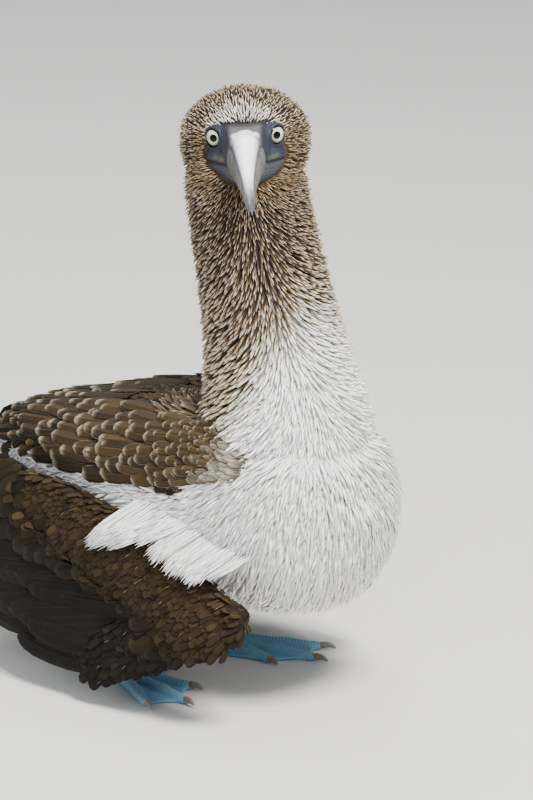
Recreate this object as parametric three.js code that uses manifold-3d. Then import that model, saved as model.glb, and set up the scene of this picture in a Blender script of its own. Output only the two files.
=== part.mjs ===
// A blue-footed booby at life size, crouched over its feet with its neck up, its head turned to its right
// and both wings let down at its sides. Millimetres, +Z up. The bird faces -Y and its left side is +X.

import * as THREE from "three";
import { mergeVertices } from "three/addons/utils/BufferGeometryUtils.js";
import Module from "manifold-3d";

const wasm = await Module();
wasm.setup();

// Driving dimensions
const GAP = 0.35; // clearance that touching pieces keep
const BODY_HALF_WIDTH = 80;
const BODY_MIDDLE = 89; // how far the middle of the whole length lies behind the wings' roots
const BODY_RAISE = 5; // how far the body is set above the height its sizes are taken from
const NECK_CUT_HEIGHT = 212;
const HEAD_CUT_BELOW_EYES = 40;
const RUMP_CUT = 146;
const EYE_MIDPOINT = new THREE.Vector3(-25.5, -81.5, 388);
const HEAD_TURN = THREE.MathUtils.degToRad(-46);
const HEAD_NOD = THREE.MathUtils.degToRad(8);
const HEAD_ROLL = THREE.MathUtils.degToRad(-2.6);
const EYE_RADIUS = 8.5;
const EYE_CENTRE = new THREE.Vector3(17.2, 5.4, 0);
const BILL_ROOT = 14; // how far in front of the eyes the horn of the bill starts
const BILL_TIP = 110;
const VANE_THICKNESS = 0.9;
const FOOT_APART = 52;
const FOOT_BACK = 15;
const FOOT_SPLAY = THREE.MathUtils.degToRad(10);
const LEFT_WING_BACK = 42; // the left wing sits this much further back than the right

const COLOURS = {
  white: { color: 0xe9e6de, roughness: 0.9, metalness: 0 },
  streaked: { color: 0x8a7558, roughness: 0.9, metalness: 0 },
  mantle: { color: 0x6b563c, roughness: 0.85, metalness: 0 },
  wing: { color: 0x3a2a1e, roughness: 0.8, metalness: 0 },
  flight: { color: 0x231b17, roughness: 0.7, metalness: 0 },
  skin: { color: 0x5b6577, roughness: 0.6, metalness: 0 },
  bill: { color: 0x9aa3ae, roughness: 0.4, metalness: 0 },
  eye: { color: 0xd8dcb8, roughness: 0.1, metalness: 0 },
  foot: { color: 0x7fa6c2, roughness: 0.6, metalness: 0 },
  claw: { color: 0x8e8778, roughness: 0.5, metalness: 0 },
};

// Closed shells and booleans

function turnedOutward(geometry) {
  const p = geometry.attributes.position;
  const index = geometry.index.array;
  const a = new THREE.Vector3();
  const b = new THREE.Vector3();
  const c = new THREE.Vector3();
  let sixVolumes = 0;
  for (let i = 0; i < index.length; i += 3) {
    a.fromBufferAttribute(p, index[i]);
    b.fromBufferAttribute(p, index[i + 1]);
    c.fromBufferAttribute(p, index[i + 2]);
    sixVolumes += a.dot(b.cross(c));
  }
  if (sixVolumes < 0)
    for (let i = 0; i < index.length; i += 3)
      [index[i + 1], index[i + 2]] = [index[i + 2], index[i + 1]];
  return geometry;
}

function solidOf(geometry) {
  geometry.deleteAttribute("normal");
  geometry.deleteAttribute("uv");
  const merged = turnedOutward(mergeVertices(geometry, 1e-4));
  return new wasm.Manifold(
    new wasm.Mesh({
      numProp: 3,
      vertProperties: new Float32Array(merged.attributes.position.array),
      triVerts: new Uint32Array(merged.index.array),
    }),
  );
}

const joined = (solids) => solids.reduce((whole, next) => whole.add(next));

function largestPiece(solid) {
  return solid.decompose().reduce((a, b) => (b.volume() > a.volume() ? b : a));
}

function geometryOf(solid) {
  const mesh = solid.getMesh();
  const geometry = new THREE.BufferGeometry();
  geometry.setAttribute("position", new THREE.BufferAttribute(mesh.vertProperties, 3));
  geometry.setIndex(new THREE.BufferAttribute(mesh.triVerts, 1));
  return geometry;
}

function movedBy(solid, matrix) {
  return solidOf(geometryOf(solid).applyMatrix4(matrix));
}

// A block that reaches from one corner to the other, for parting cuts.
function block(low, high) {
  const geometry = new THREE.BoxGeometry(high[0] - low[0], high[1] - low[1], high[2] - low[2]);
  geometry.translate((low[0] + high[0]) / 2, (low[1] + high[1]) / 2, (low[2] + high[2]) / 2);
  return solidOf(geometry);
}

const FAR = 900;
const above = (z) => block([-FAR, -FAR, z], [FAR, FAR, FAR]);
const below = (z) => block([-FAR, -FAR, -FAR], [FAR, FAR, z]);
const behind = (y) => block([-FAR, y, -FAR], [FAR, FAR, FAR]);
const before = (y) => block([-FAR, -FAR, -FAR], [FAR, y, FAR]);

const BACKWARD = [0, 1, 0];
const FLAT = 0.02; // a cap shorter than this share of the spine is a flat end

// A body of rings along a spine. A station holds the ring's centre, its half width, and its reach towards
// the up side and away from it.
class SpineBody {
  constructor(stations, shape = {}) {
    const { startCap = 0.12, endCap = 0.12, square = 2, across = [1, 0, 0], up = [0, 0, 1] } = shape;
    this.centres = new THREE.CatmullRomCurve3(stations.map((s) => new THREE.Vector3(s[0], s[1], s[2])));
    this.reaches = new THREE.CatmullRomCurve3(stations.map((s) => new THREE.Vector3(s[3], s[4], s[5])));
    this.startCap = startCap;
    this.endCap = endCap;
    this.square = square;
    this.across = new THREE.Vector3(...across);
    this.up = new THREE.Vector3(...up);
  }

  roundness(t) {
    const intoStart = this.startCap < FLAT ? 0 : Math.max(0, 1 - t / this.startCap);
    const intoEnd = this.endCap < FLAT ? 0 : Math.max(0, 1 - (1 - t) / this.endCap);
    return Math.sqrt(Math.max(0, 1 - Math.max(intoStart, intoEnd) ** 2));
  }

  // angle 0 is up and a quarter turn is to the +across side.
  point(t, angle, grow = 0) {
    const centre = this.centres.getPoint(t);
    const reach = this.reaches.getPoint(t);
    const along = this.centres.getTangent(t);
    const side = this.across.clone().addScaledVector(along, -this.across.dot(along)).normalize();
    const up = side.clone().cross(along).normalize();
    if (up.dot(this.up) < 0) up.negate();
    const power = 2 / this.square;
    const s = Math.sin(angle);
    const c = Math.cos(angle);
    const swell = this.roundness(t);
    const rise = c > 0 ? reach.y : reach.z;
    return centre
      .addScaledVector(side, Math.sign(s) * Math.abs(s) ** power * (reach.x * swell + grow))
      .addScaledVector(up, Math.sign(c) * Math.abs(c) ** power * (rise * swell + grow))
      .addScaledVector(along, (t < 0.5 ? -grow : grow) * (1 - swell));
  }

  solid(sides, rings, grow = 0) {
    const geometry = new THREE.SphereGeometry(1, sides, rings);
    const position = geometry.attributes.position;
    const flatStart = this.startCap < FLAT ? 1 : 0;
    const flatEnd = this.endCap < FLAT ? 1 : 0;
    for (let ring = 0; ring <= rings; ring++) {
      const even = THREE.MathUtils.clamp((ring - flatStart) / (rings - flatStart - flatEnd), 0, 1);
      const crowded = (1 - Math.cos(Math.PI * even)) / 2;
      const t = (even + crowded) / 2;
      const atPole = ring === 0 || ring === rings;
      for (let side = 0; side <= sides; side++) {
        const angle = (2 * Math.PI * (side % sides)) / sides;
        const p = atPole ? this.centres.getPoint(t) : this.point(t, angle, grow);
        if (atPole) p.addScaledVector(this.centres.getTangent(t), ring ? grow : -grow);
        position.setXYZ(ring * (sides + 1) + side, p.x, p.y, p.z);
      }
    }
    return solidOf(geometry);
  }
}

// The flesh: torso, neck and feathered head, out to the tips of their small feathers

const torsoBody = new SpineBody(
  [
    [0, -169, 139, 40, 40, 40],
    [0, -146, 137, 62, 60, 60],
    [0, -118, 134, 75, 70, 72],
    [0, -80, 131, BODY_HALF_WIDTH, 77, 75],
    [0, -30, 129, BODY_HALF_WIDTH, 73, 75],
    [0, 20, 129, 77, 65, 72],
    [0, 70, 132, 66, 50, 62],
    [0, 115, 135, 50, 36, 44],
    [0, 150, 133, 36, 25, 28],
    [0, 172, 130, 28, 18, 20],
  ],
  { startCap: 0.16, endCap: 0.08, square: 2.25 },
);

const neckBody = new SpineBody(
  [
    [0, -88, 140, 72, 60, 66],
    [0, -92, 178, 66, 56, 62],
    [0, -90, 212, 56.5, 49, 53],
    [-1, -83, 250, 48.5, 44, 46],
    [-4, -76, 290, 45, 41, 42],
    [-7, -69, 330, 43.5, 40, 40],
    [-6, -64, 350, 43, 39, 37],
    [-5, -60, 366, 39, 36, 31],
    [-4, -58, 380, 28, 28, 24],
  ],
  { startCap: 0.1, endCap: 0.1, up: BACKWARD },
);

const headPose = new THREE.Matrix4().compose(
  EYE_MIDPOINT,
  new THREE.Quaternion().setFromEuler(new THREE.Euler(HEAD_NOD, HEAD_ROLL, HEAD_TURN, "ZXY")),
  new THREE.Vector3(1, 1, 1),
);

const featheredHead = new SpineBody(
  [
    [0, 62, -10, 26, 16, 32],
    [0, 50, -10, 36, 27, 40],
    [0, 36, -10, 42.5, 33.5, 44],
    [0, 26, -10, 43.5, 37.5, 45],
    [0, 16, -10, 40, 37.3, 42],
    [0, 9, -10, 32.5, 34.5, 33],
    [0, 4, -10, 25, 31, 23],
    [0, 0, -10, 17, 28.2, 13],
    [0, -4, -10, 12.5, 24.8, 7],
    [0, -8, -10, 9, 21, 4],
  ],
  { startCap: 0.14, endCap: 0.1 },
);

// Bare skin: the lores and brow between the eyes, and below them the cheeks and the round of the throat.
const faceCore = new SpineBody(
  [
    [0, 13, -5, 20, 13, 18],
    [0, 6, -5, 24, 15.6, 20],
    [0, 1, -5, 20.5, 15.4, 21],
    [0, -6, -6, 16.8, 13.8, 20],
    [0, -12, -7, 15.6, 14.6, 19],
    [0, -19, -7, 14.6, 14, 18],
  ],
  { startCap: 0.2, endCap: 0, square: 2.8 },
);
const jawBody = new SpineBody(
  [
    [0, 15, -17, 20, 8, 12],
    [0, 8, -17.5, 25.5, 10, 15],
    [0, 2, -18, 25.2, 10, 16.5],
    [0, -5, -18, 21, 9, 16],
    [0, -12, -16.5, 16, 8, 14.5],
    [0, -19, -15, 14, 8, 13],
  ],
  { startCap: 0.2, endCap: 0, square: 2.1 },
);

function bareFace(grow = 0) {
  return faceCore.solid(16, 7, grow).add(jawBody.solid(16, 6, grow));
}

const eyeAim = new THREE.Vector3(0.72, -0.69, 0.03).normalize();

function eyeball(side, grow = 0) {
  const geometry = new THREE.SphereGeometry(EYE_RADIUS + grow, 12, 7);
  geometry.translate(side * EYE_CENTRE.x, EYE_CENTRE.y, EYE_CENTRE.z);
  return solidOf(geometry);
}

// The bare rim that stands round the eye.
function eyelid(side, grow = 0) {
  const setBack = 5.8;
  const geometry = new THREE.TorusGeometry(Math.sqrt(EYE_RADIUS ** 2 - setBack ** 2) + 1, 1.7 + grow, 5, 12);
  const aim = new THREE.Vector3(side * eyeAim.x, eyeAim.y, eyeAim.z);
  geometry.applyQuaternion(new THREE.Quaternion().setFromUnitVectors(new THREE.Vector3(0, 0, 1), aim));
  geometry.translate(
    side * EYE_CENTRE.x + aim.x * setBack,
    EYE_CENTRE.y + aim.y * setBack,
    EYE_CENTRE.z + aim.z * setBack,
  );
  return solidOf(geometry);
}

// The mouth line, as distance in front of the eyes and height, with the bill's half width, the height of its
// ridge above the line and the depth of the lower half below it at each place.
const BILL_STATIONS = [
  [BILL_ROOT, -13, 14.6, 21, 14.6],
  [40, -12, 11.2, 15.4, 10.5],
  [70, -11.3, 6.2, 9.3, 6.2],
  [93, -11.8, 4, 4.8, 2.8],
  [BILL_TIP, -13.8, 1.9, 1.8, 0.8],
];
const upperBill = new SpineBody(
  BILL_STATIONS.map(([forward, height, half, up]) => [0, -forward, height, half, up, 0.8]),
  { startCap: 0, endCap: 0.08, square: 2.1 },
);
const lowerBill = new SpineBody(
  BILL_STATIONS.map(([forward, height, half, , down]) => [0, -forward, height, half * 0.94, 0.1, down]),
  { startCap: 0, endCap: 0.1, square: 2.1 },
);

function fleshParts() {
  const headFlesh = movedBy(featheredHead.solid(18, 13), headPose);
  const whole = joined([torsoBody.solid(24, 15), neckBody.solid(20, 12), headFlesh]);
  const headCut = EYE_MIDPOINT.z - HEAD_CUT_BELOW_EYES;
  const half = GAP / 2;
  return {
    head: whole.subtract(below(headCut + half)),
    neck: whole.subtract(above(headCut - half)).subtract(below(NECK_CUT_HEIGHT + half)),
    torso: whole.subtract(above(NECK_CUT_HEIGHT - half)).subtract(behind(RUMP_CUT - half)),
  };
}

const flesh = fleshParts();

// Head pieces in the head's own frame: the eyes' midpoint is its origin and the bill points along -Y

const toHead = headPose.clone().invert();
const faceSolid = bareFace()
  .add(eyelid(1))
  .add(eyelid(-1))
  .subtract(before(-BILL_ROOT + GAP / 2))
  .subtract(eyeball(1, GAP))
  .subtract(eyeball(-1, GAP));
const face = largestPiece(faceSolid);
const billRootCut = behind(-BILL_ROOT - GAP / 2);
const upperHorn = upperBill.solid(14, 8).subtract(billRootCut);
const lowerHorn = lowerBill
  .solid(12, 8)
  .subtract(billRootCut)
  .subtract(upperBill.solid(14, 8, GAP));
const headSolid = largestPiece(
  movedBy(flesh.head, toHead)
    .subtract(bareFace(2 * GAP))
    .subtract(upperBill.solid(14, 8, GAP))
    .subtract(lowerBill.solid(12, 8, GAP))
    .subtract(eyeball(1, 2 * GAP))
    .subtract(eyeball(-1, 2 * GAP))
    .subtract(eyelid(1, GAP))
    .subtract(eyelid(-1, GAP)),
);

// Surfaces that feathers are laid on. Each takes a place along, a place across and a height above it.

const TORSO_ALONG = [-169, 172];
const AROUND_RADIUS = 76;

function torsoSurface(side) {
  return (along, around, height) => {
    const t = (along - TORSO_ALONG[0]) / (TORSO_ALONG[1] - TORSO_ALONG[0]);
    return torsoBody.point(THREE.MathUtils.clamp(t, 0.02, 0.98), (side * around) / AROUND_RADIUS, height);
  };
}

function wingSurface(side) {
  const back = side > 0 ? LEFT_WING_BACK : 0;
  return (along, up, height) => {
    const drop = THREE.MathUtils.clamp((165 - up) / 135, -0.1, 1.1);
    const taper = 0.21 * Math.max(0, along - 60) + 0.12 * Math.max(0, -70 - along);
    return new THREE.Vector3(side * (77 + 36 * drop - taper + height), along + back, up);
  };
}

// A rounded pad laid on a surface: an ellipsoid in the surface's own places, turned by a slope.
function pad(surface, { at, long, wide, thick, slope = 0, height = 0, sides = 12, rings = 7 }) {
  const geometry = new THREE.SphereGeometry(1, sides, rings);
  const position = geometry.attributes.position;
  for (let i = 0; i < position.count; i++) {
    const a = position.getY(i) * long;
    const b = position.getX(i) * wide;
    const place = surface(
      at[0] + a * Math.cos(slope) - b * Math.sin(slope),
      at[1] + a * Math.sin(slope) + b * Math.cos(slope),
      height + position.getZ(i) * thick,
    );
    position.setXYZ(i, place.x, place.y, place.z);
  }
  return solidOf(geometry);
}

// A feather or lock laid on a surface: a thin blade with its root at one end, split alike on both faces.
// The rows give places along its length and the share of its width there.
const FLIGHT_ROWS = [
  [0, 0.5],
  [0.45, 1],
  [0.86, 0.84],
  [1, 0.15],
];
const COVERT_ROWS = [
  [0, 0.6],
  [0.68, 1],
  [1, 0.35],
];

function vane(surface, shape) {
  const { root, heading, length, width, lift, tilt = 0, bend = 0 } = shape;
  const { rows = COVERT_ROWS, thick = VANE_THICKNESS, grow = 0 } = shape;
  const half = thick / 2 + grow;
  const points = [];
  const faces = [];
  for (const [t, share] of rows) {
    const way = heading + bend * t;
    const reach = length * t + (t === 0 ? -grow : 0) + (t === 1 ? grow : 0);
    const middle = [
      root[0] + reach * Math.cos(heading + (bend * t) / 2),
      root[1] + reach * Math.sin(heading + (bend * t) / 2),
    ];
    const height = lift[0] + (lift[1] - lift[0]) * t;
    for (const [across, over] of [[-1, 1], [1, 1], [1, -1], [-1, -1]]) {
      const off = across * ((width * share) / 2 + grow);
      const place = surface(
        middle[0] - off * Math.sin(way),
        middle[1] + off * Math.cos(way),
        height + off * tilt + over * half,
      );
      points.push(place.x, place.y, place.z);
    }
  }
  const last = 4 * (rows.length - 1);
  faces.push(0, 1, 2, 0, 2, 3, last, last + 2, last + 1, last, last + 3, last + 2);
  for (let ring = 0; ring < last; ring += 4) {
    const next = ring + 4;
    faces.push(ring, next + 1, ring + 1, ring, next, next + 1);
    faces.push(ring + 3, ring + 2, next + 2, ring + 3, next + 2, next + 3);
    faces.push(ring + 1, next + 1, next + 2, ring + 1, next + 2, ring + 2);
    faces.push(ring, ring + 3, next + 3, ring, next + 3, next);
  }
  const geometry = new THREE.BufferGeometry();
  geometry.setAttribute("position", new THREE.BufferAttribute(new Float32Array(points), 3));
  geometry.setIndex(faces);
  return solidOf(geometry);
}

// A row of vanes from one root to the last, with every size going from its first value to its last.
function vaneRow(surface, count, first, last, shared = {}) {
  return Array.from({ length: count }, (_, i) => {
    const share = count > 1 ? i / (count - 1) : 0;
    const mix = (key) => THREE.MathUtils.lerp(first[key], last[key], share);
    const rootAt = (axis) => THREE.MathUtils.lerp(first.root[axis], last.root[axis], share);
    return vane(surface, {
      root: [rootAt(0), rootAt(1)],
      heading: mix("heading"),
      length: mix("length") + (shared.arch ?? 0) * Math.sin(Math.PI * share),
      width: mix("width"),
      lift: [mix("from"), mix("to")],
      ...shared,
    });
  });
}

// The wing, let down: the wrist low in front, the forearm rising back from it under the scapulars, the hand
// folded back below. Places are along and up; nearer feathers of the body lie over those nearer the hand.

const ELBOW = [74, 130];
const WRIST = [-124, 74];
const HAND_END = [2, 23];
const FOREARM_SLOPE = Math.atan2(ELBOW[1] - WRIST[1], ELBOW[0] - WRIST[0]);
const HAND_SLOPE = Math.atan2(HAND_END[1] - WRIST[1], HAND_END[0] - WRIST[0]);

function between(a, b, share, off = 0) {
  const slope = Math.atan2(b[1] - a[1], b[0] - a[0]);
  return [
    a[0] + (b[0] - a[0]) * share - off * Math.sin(slope),
    a[1] + (b[1] - a[1]) * share + off * Math.cos(slope),
  ];
}

function forearm(side, grow = 0) {
  const surface = wingSurface(side);
  const core = pad(surface, {
    at: between(WRIST, ELBOW, 0.47),
    slope: FOREARM_SLOPE,
    long: 120 + grow,
    wide: 24 + grow,
    thick: 7 + grow,
    height: -1,
  });
  const upperArm = pad(torsoSurface(side), {
    at: [60 + (side > 0 ? LEFT_WING_BACK / 2 : 0), 84],
    long: 46 + grow,
    wide: 24 + grow,
    thick: 13 + grow,
    height: 2,
  });
  const secondaries = vaneRow(
    surface,
    9,
    { root: between(WRIST, ELBOW, 0.12, -5), heading: -0.22, length: 112, width: 31, from: -3, to: -3.4 },
    { root: between(WRIST, ELBOW, 0.98, -5), heading: -0.46, length: 138, width: 33, from: -3, to: -2 },
    { tilt: 0.085, bend: 0.2, rows: FLIGHT_ROWS, arch: 14, grow },
  );
  const tertials = vaneRow(
    surface,
    3,
    { root: between(WRIST, ELBOW, 1.0, -2), heading: -0.36, length: 158, width: 33, from: -1, to: 0.4 },
    { root: between(WRIST, ELBOW, 0.98, 9), heading: -0.1, length: 140, width: 33, from: 1, to: 2.6 },
    { tilt: 0.1, bend: 0.1, rows: FLIGHT_ROWS, grow },
  );
  const greaterCoverts = vaneRow(
    surface,
    7,
    { root: between(WRIST, ELBOW, 0.08, -4), heading: -0.3, length: 48, width: 34, from: 0.4, to: 0.6 },
    { root: between(WRIST, ELBOW, 0.9, -4), heading: -0.5, length: 64, width: 36, from: 0.4, to: 1.6 },
    { tilt: 0.085, bend: 0.14, grow },
  );
  const medianCoverts = vaneRow(
    surface,
    6,
    { root: between(WRIST, ELBOW, 0.07, 5), heading: -0.44, length: 34, width: 35, from: 3, to: 3.8 },
    { root: between(WRIST, ELBOW, 0.84, 5), heading: -0.56, length: 44, width: 36, from: 3, to: 4.8 },
    { tilt: 0.085, bend: 0.1, grow },
  );
  return joined([core, upperArm, ...secondaries, ...tertials, ...greaterCoverts, ...medianCoverts]);
}

function hand(side, grow = 0) {
  const surface = wingSurface(side);
  const core = pad(surface, {
    at: between(WRIST, HAND_END, 0.46),
    slope: HAND_SLOPE,
    long: 80 + grow,
    wide: 23 + grow,
    thick: 6.5 + grow,
    height: -6,
  });
  const primaries = vaneRow(
    surface,
    8,
    { root: between(WRIST, HAND_END, 0.94, 10), heading: 0.05, length: 168, width: 23, from: -7, to: -6 },
    { root: between(WRIST, HAND_END, 0.56, -9), heading: -0.04, length: 342, width: 16, from: -9, to: -14 },
    { tilt: -0.1, bend: 0.09, rows: FLIGHT_ROWS, grow },
  );
  const primaryCoverts = vaneRow(
    surface,
    5,
    { root: between(WRIST, HAND_END, 0.82, 6), heading: -0.14, length: 62, width: 23, from: -4.4, to: -4 },
    { root: between(WRIST, HAND_END, 0.3, -11), heading: -0.4, length: 84, width: 19, from: -4.4, to: -4.6 },
    { tilt: -0.085, bend: 0.34, grow },
  );
  const alula = vaneRow(
    surface,
    2,
    { root: between(WRIST, HAND_END, 0.2, -3), heading: -0.46, length: 48, width: 19, from: -2, to: -0.8 },
    { root: between(WRIST, HAND_END, 0.1, -8), heading: -0.66, length: 42, width: 15, from: -2, to: -0.8 },
    { tilt: -0.1, bend: 0.3, grow },
  );
  return joined([core, ...primaries, ...primaryCoverts, ...alula]);
}

// Scapulars: rounded feathers in staggered rows, from small ones at the neck to large ones over the back.

const SCAPULAR_PAD = { at: [10, 58], long: 100, wide: 44, thick: 7, height: 1 };

function scapularHeight(along, around) {
  const a = (along - SCAPULAR_PAD.at[0]) / SCAPULAR_PAD.long;
  const b = (around - SCAPULAR_PAD.at[1]) / SCAPULAR_PAD.wide;
  return SCAPULAR_PAD.height + SCAPULAR_PAD.thick * Math.sqrt(Math.max(0, 1 - a * a - b * b));
}

function scapularSurface(side) {
  const body = torsoSurface(side);
  return (along, around, height) => body(along, around, scapularHeight(along, around) + height);
}

function scapulars(side) {
  const surface = scapularSurface(side);
  const solids = [pad(torsoSurface(side), { ...SCAPULAR_PAD, sides: 12 })];
  const rows = 5;
  const columns = 4;
  for (let row = 0; row < rows; row++) {
    const share = row / (rows - 1);
    const along = THREE.MathUtils.lerp(-72, 64, share ** 0.92);
    const spread = 34 * Math.sqrt(1 - (share * 1.3 - 0.74) ** 2);
    for (let column = 0; column < columns; column++) {
      const offset = (column - (columns - 1) / 2 + (row % 2 ? 0.25 : -0.25)) / (columns / 2);
      solids.push(
        vane(surface, {
          root: [along, SCAPULAR_PAD.at[1] + spread * offset],
          heading: 0.14 * offset + 0.05,
          length: THREE.MathUtils.lerp(44, 82, share),
          width: THREE.MathUtils.lerp(23, 32, share),
          lift: [-2, 2.4],
          tilt: 0.07,
        }),
      );
    }
  }
  return joined(solids);
}

// The tail: a wedge of stiff feathers, the middle pair longest and on top, with coverts over and under it.

function tailSurface(along, across, height) {
  const fall = 0.23 * (along - RUMP_CUT) + 0.0012 * across * across;
  return new THREE.Vector3(across, along, 133 - fall + height);
}

const rump = new SpineBody(
  [
    [0, 140, 133, 38, 27, 30],
    [0, 165, 128, 32, 17, 20],
    [0, 190, 122, 27, 8, 9],
    [0, 212, 116, 16, 3, 3],
  ],
  { startCap: 0, endCap: 0.2 },
);

function tailFeathers() {
  const pairs = 6;
  const solids = [];
  for (let pair = 0; pair < pairs; pair++)
    for (const side of [-1, 1]) {
      const share = pair / (pairs - 1);
      const level = -2.2 * pair - (side < 0 ? 1.1 : 0);
      solids.push(
        vane(tailSurface, {
          root: [172, side * (3 + 17 * share)],
          heading: side * (0.015 + 0.15 * share),
          length: THREE.MathUtils.lerp(176, 96, share),
          width: THREE.MathUtils.lerp(21, 19, share),
          lift: [1 + level * 0.7, 1 + level],
          rows: FLIGHT_ROWS,
        }),
      );
    }
  for (const side of [-1, 0, 1])
    solids.push(
      vane(tailSurface, {
        root: [154, side * 13],
        heading: side * 0.13,
        length: 62 - 8 * Math.abs(side),
        width: 20,
        lift: [9 - 2 * Math.abs(side), 5 - Math.abs(side)],
      }),
    );
  for (const side of [-1, 1])
    solids.push(
      vane(tailSurface, {
        root: [158, side * 9],
        heading: side * 0.08,
        length: 66,
        width: 22,
        lift: [-14, -17],
      }),
    );
  return joined([rump.solid(16, 8), ...solids]);
}

// Tufts of the flank that hang out over the wing's front edge, as places along and up.

const TORSO_CENTRE_HEIGHT = 130;
const TORSO_REACH = 75;

function flankSurface(side, top) {
  const wing = wingSurface(side);
  const torso = torsoSurface(side);
  return (along, up, height) => {
    const back = side > 0 ? LEFT_WING_BACK : 0;
    const over = THREE.MathUtils.smoothstep(top - up, 0, 20);
    const rise = THREE.MathUtils.clamp((up - TORSO_CENTRE_HEIGHT) / TORSO_REACH, -1, 1);
    const flank = Math.abs(torso(along, AROUND_RADIUS * Math.acos(rise), -3).x);
    const outside = Math.max(flank + 4, Math.abs(wing(along - back, up, 10).x));
    return new THREE.Vector3(side * (THREE.MathUtils.lerp(flank, outside, over) + height), along, up);
  };
}

const FLANK_TUFTS = [
  { root: [-30, 142], heading: -0.7, length: 36 },
  { root: [-50, 136], heading: -0.78, length: 46 },
  { root: [-70, 130], heading: -1.0, length: 38 },
  { root: [-92, 124], heading: -1.25, length: 36 },
  { root: [-114, 116], heading: -1.4, length: 38 },
];

function flankTufts(side) {
  const back = side > 0 ? LEFT_WING_BACK * 0.8 : 0;
  return FLANK_TUFTS.map(({ root, heading, length }, i) =>
    vane(flankSurface(side, root[1]), {
      root: [root[0] + back, root[1]],
      heading,
      length,
      width: 27,
      lift: [-3, 1.5 + 1.4 * (i % 2)],
      tilt: 0.02,
      rows: FLIGHT_ROWS,
      thick: 1.6,
    }),
  );
}

// Legs: a feathered thigh out of the belly, a bare shank and a foot with all four toes webbed together

function thigh(side) {
  return new SpineBody(
    [
      [side * 45, -2, 92, 24, 24, 24],
      [side * 49, 22, 66, 19, 18, 18],
      [side * 52, 42, 50, 8, 8, 8],
    ],
    { startCap: 0.1, endCap: 0.16, up: BACKWARD },
  ).solid(14, 8);
}

function shank(side, grow = 0) {
  return new SpineBody(
    [
      [side * 51.5, 44, 56, 5.5, 5, 5],
      [side * 52, 43, 46, 7, 6, 6.4],
      [side * 52, 32, 28, 4.6, 5.2, 5.2],
      [side * 52, 21, 11, 5.6, 5.6, 5.6],
      [side * 52, 16, 2, 7, 6, 6],
    ],
    { startCap: 0.08, endCap: 0.08, up: BACKWARD },
  ).solid(10, 10, grow);
}

const TOES = [
  { name: "outer", angle: 20, length: 74, thick: 4.6 },
  { name: "middle", angle: 0, length: 80, thick: 4.8 },
  { name: "inner", angle: -22, length: 60, thick: 4.4 },
  { name: "hind", angle: -64, length: 32, thick: 3.8 },
];
const WEB_THICKNESS = 2.2;
const SHANK_FOOT_CUT = 12;

function toeTip(toe, side) {
  const angle = THREE.MathUtils.degToRad(toe.angle);
  return new THREE.Vector3(side * Math.sin(angle) * toe.length, -Math.cos(angle) * toe.length, 0);
}

function toeSolid(toe, side) {
  const tip = toeTip(toe, side);
  const station = (share, height, wide, high) => [tip.x * share, tip.y * share, height, wide, high, high];
  return new SpineBody(
    [
      station(-0.06, 4.5, 5, 5),
      station(0.25, 3.6, toe.thick, toe.thick),
      station(0.5, 3.2, toe.thick * 0.86, toe.thick * 0.86),
      station(0.62, 3.2, toe.thick * 0.94, toe.thick * 0.94),
      station(0.8, 2.8, toe.thick * 0.76, toe.thick * 0.76),
      station(1, 2.6, toe.thick * 0.7, toe.thick * 0.7),
    ],
    { startCap: 0.08, endCap: 0.08, across: [-tip.y, tip.x, 0] },
  ).solid(6, 5);
}

function webSolid(side) {
  const shape = new THREE.Shape();
  const heel = new THREE.Vector2(0, 7);
  shape.moveTo(side * 5, heel.y);
  TOES.forEach((toe, i) => {
    const tip = toeTip(toe, side).multiplyScalar(0.97);
    if (i === 0) {
      shape.lineTo(tip.x, tip.y);
      return;
    }
    const last = toeTip(TOES[i - 1], side);
    shape.quadraticCurveTo((tip.x + last.x) * 0.43, (tip.y + last.y) * 0.43, tip.x, tip.y);
  });
  shape.lineTo(-side * 6, heel.y);
  shape.closePath();
  const sheet = { depth: WEB_THICKNESS, bevelEnabled: false, curveSegments: 4 };
  return solidOf(new THREE.ExtrudeGeometry(shape, sheet));
}

function footSolid(side) {
  const ankle = new THREE.SphereGeometry(8, 8, 5).scale(1, 1.1, 1).translate(0, 1, 6);
  const toes = TOES.map((toe) => toeSolid(toe, side));
  const whole = joined([solidOf(ankle), webSolid(side), ...toes]);
  return whole.subtract(below(0)).subtract(above(SHANK_FOOT_CUT - GAP));
}

function clawSolid(toe, side) {
  const tip = toeTip(toe, side);
  const way = tip.clone().normalize();
  const station = (forward, height, size) => [
    tip.x + way.x * forward,
    tip.y + way.y * forward,
    height,
    size * 0.8,
    size,
    size,
  ];
  return new SpineBody(
    [station(-5, 2.8, 1.8), station(0, 3.6, 2.5), station(5, 3.8, 1.9), station(9.5, 1.8, 0.8)],
    { startCap: 0.1, endCap: 0.12, across: [-way.y, way.x, 0] },
  ).solid(5, 4);
}

// The scene graph

const bird = new THREE.Group();
const frame = new THREE.Group();
frame.position.set(0, -BODY_MIDDLE, BODY_RAISE);
bird.add(frame);

function place(name, solid, finish, parent = frame) {
  const mesh = new THREE.Mesh(geometryOf(solid), new THREE.MeshStandardMaterial(COLOURS[finish]));
  mesh.name = name;
  parent.add(mesh);
  return mesh;
}

const headGroup = new THREE.Group();
headGroup.applyMatrix4(headPose);
frame.add(headGroup);
place("head", headSolid, "streaked", headGroup);
place("face", face, "skin", headGroup);
place("bill_upper", largestPiece(upperHorn), "bill", headGroup);
place("bill_lower", largestPiece(lowerHorn), "bill", headGroup);
place("eye_left", eyeball(1), "eye", headGroup);
place("eye_right", eyeball(-1), "eye", headGroup);

place("neck", largestPiece(flesh.neck), "streaked");

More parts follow.
